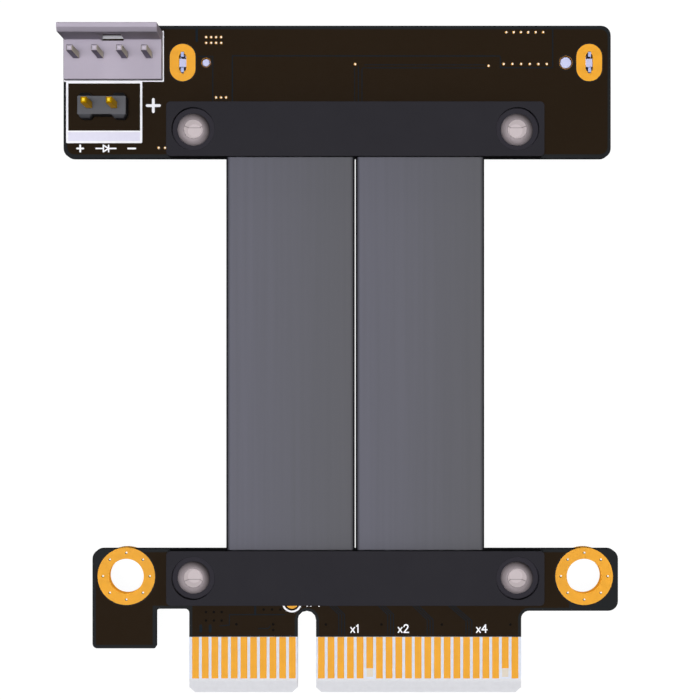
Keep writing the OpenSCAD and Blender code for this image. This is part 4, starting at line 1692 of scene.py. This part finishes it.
@dataclass
class Ribbon:
    """One flat cable, drawn as a crowned strip with round edges along its run; sizes in mm."""

    shop: Workshop
    side: int
    width: float = 13.24
    gap: float = 0.1
    thickness: float = 1.05
    start_y: float = -0.3
    end_y: float = 46.3
    rows: int = 24
    wires: int = 16
    points_per_wire: int = 6
    valley: float = 0.012
    # jacket colour at its left side, where painted light falls
    colour: Colour = (103, 103, 114)

    def build(self) -> None:
        """Sweeps the section along Y and dresses it."""
        label = "left" if self.side < 0 else "right"
        middle = self.side * (self.gap + self.width) / 2
        section = self.section(middle)
        n, run = len(section), self.end_y - self.start_y
        levels = [self.start_y + run * i / self.rows for i in range(self.rows + 1)]
        points = [(x * MM, y * MM, z * MM) for y in levels for x, z in section]
        faces = [[r * n + i, r * n + (i + 1) % n, (r + 1) * n + (i + 1) % n, (r + 1) * n + i]
                 for r in range(self.rows) for i in range(n)]
        faces += [list(range(n)), [len(points) - 1 - i for i in range(n)]]
        mesh = smoothed(mesh_of(f"ribbon_{label}_jacket", points, faces), 60.0)
        jacket = RibbonJacket(f"ribbon_jacket_{label}", self.colour, middle, self.width)
        self.shop.keep(mesh, jacket, "ribbon_jacket", [f"ribbon_{label}"])

    def section(self, middle: float) -> Loop:
        """Draws the cross-section, with a shallow valley between each two wires.

        Args:
            middle: Middle of the ribbon along X in mm.

        Returns:
            Points along X and Z in mm.
        """
        r = self.thickness / 2
        flat = self.width / 2 - r
        count = self.wires * self.points_per_wire
        top = []
        for i in range(count + 1):
            x = -flat + 2 * flat * i / count
            phase = math.cos(math.tau * (x / WIRE_PITCH_MM - 0.5 * (1 - self.wires % 2)))
            top.append((x, self.thickness - self.valley * (0.5 - 0.5 * phase)))
        right = arc((flat, r), r, 90, -90)[1:-1]
        left = arc((-flat, r), r, 270, 90)[1:-1]
        bottom = [(x, self.thickness - z) for x, z in reversed(top)]
        return [(middle + x, z) for x, z in top + right + bottom + left]


@dataclass
class Receptacle:
    """Drive receptacle behind the board, with a boss between its locks' prongs; sizes in mm."""

    shop: Workshop
    edge: float = 0.05
    middle: Point = RECEPTACLE_MIDDLE
    lock_half: float = LOCK_HALF
    boss: Point = (0.35, 0.42)
    boss_depth: Point = (-1.63, -0.2)

    def build(self) -> None:
        """Builds the softened housing and the bosses, and dresses the metal."""
        look = self.shop.palette
        mesh = softened("receptacle_housing", "receptacle_shell", self.edge)
        self.shop.keep(mesh, look.ivory, "receptacle_plastic", ["receptacle_housing"])
        for group in ("signal", "power", "lane"):
            self.shop.dress(f"receptacle_{group}_contacts", look.gold)
        self.shop.dress("receptacle_board_locks", look.lock)
        (x, y), (w, l) = self.middle, self.boss
        bosses = [box_loop((x + s * self.lock_half - w, y - l), (x + s * self.lock_half + w, y + l))
                  for s in (-1, 1)]
        self.shop.lay("receptacle_lock_bosses", bosses, Face.FRONT.span(*self.boss_depth),
                      look.ivory, "receptacle_plastic")


@dataclass
class Headers:
    """The power header and the two-pin header in front of the drive board; sizes in mm."""

    shop: Workshop
    power_edge: float = 0.05
    light_edge: float = 0.06
    pin_edge: float = 0.03

    def build(self) -> None:
        """Builds housings and pins, and dresses the solder."""
        look = self.shop.palette
        for node, name, edge, finish, slot in (
            ("power_header_housing", "power_header_shell", self.power_edge, look.lilac,
             "power_plastic"),
            ("power_header_pins", "power_header_posts", self.pin_edge, look.pin_tin, "tin_plate"),
            ("light_header_body", "light_header_shell", self.light_edge, look.grey,
             "light_plastic"),
            ("light_header_pins", "light_header_posts", self.pin_edge, look.pin_gold,
             "gold_plate"),
        ):
            self.shop.keep(softened(node, name, edge), finish, slot, [node])
        self.shop.dress("pin_solder_joints", look.tin)


def main() -> None:
    """Builds the studio and every sub-assembly in order."""
    logging.basicConfig(level=logging.INFO, format="%(name)s: %(message)s")
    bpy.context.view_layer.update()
    Studio().build()
    shop = Workshop()
    CardBoard(shop).build()
    DriveBoard(shop).build()
    for row in Row:
        Clamp(shop, row).build()
    for side in (-1, 1):
        Ribbon(shop, side).build()
    Receptacle(shop).build()
    Headers(shop).build()


if __name__ == "__main__":
    main()
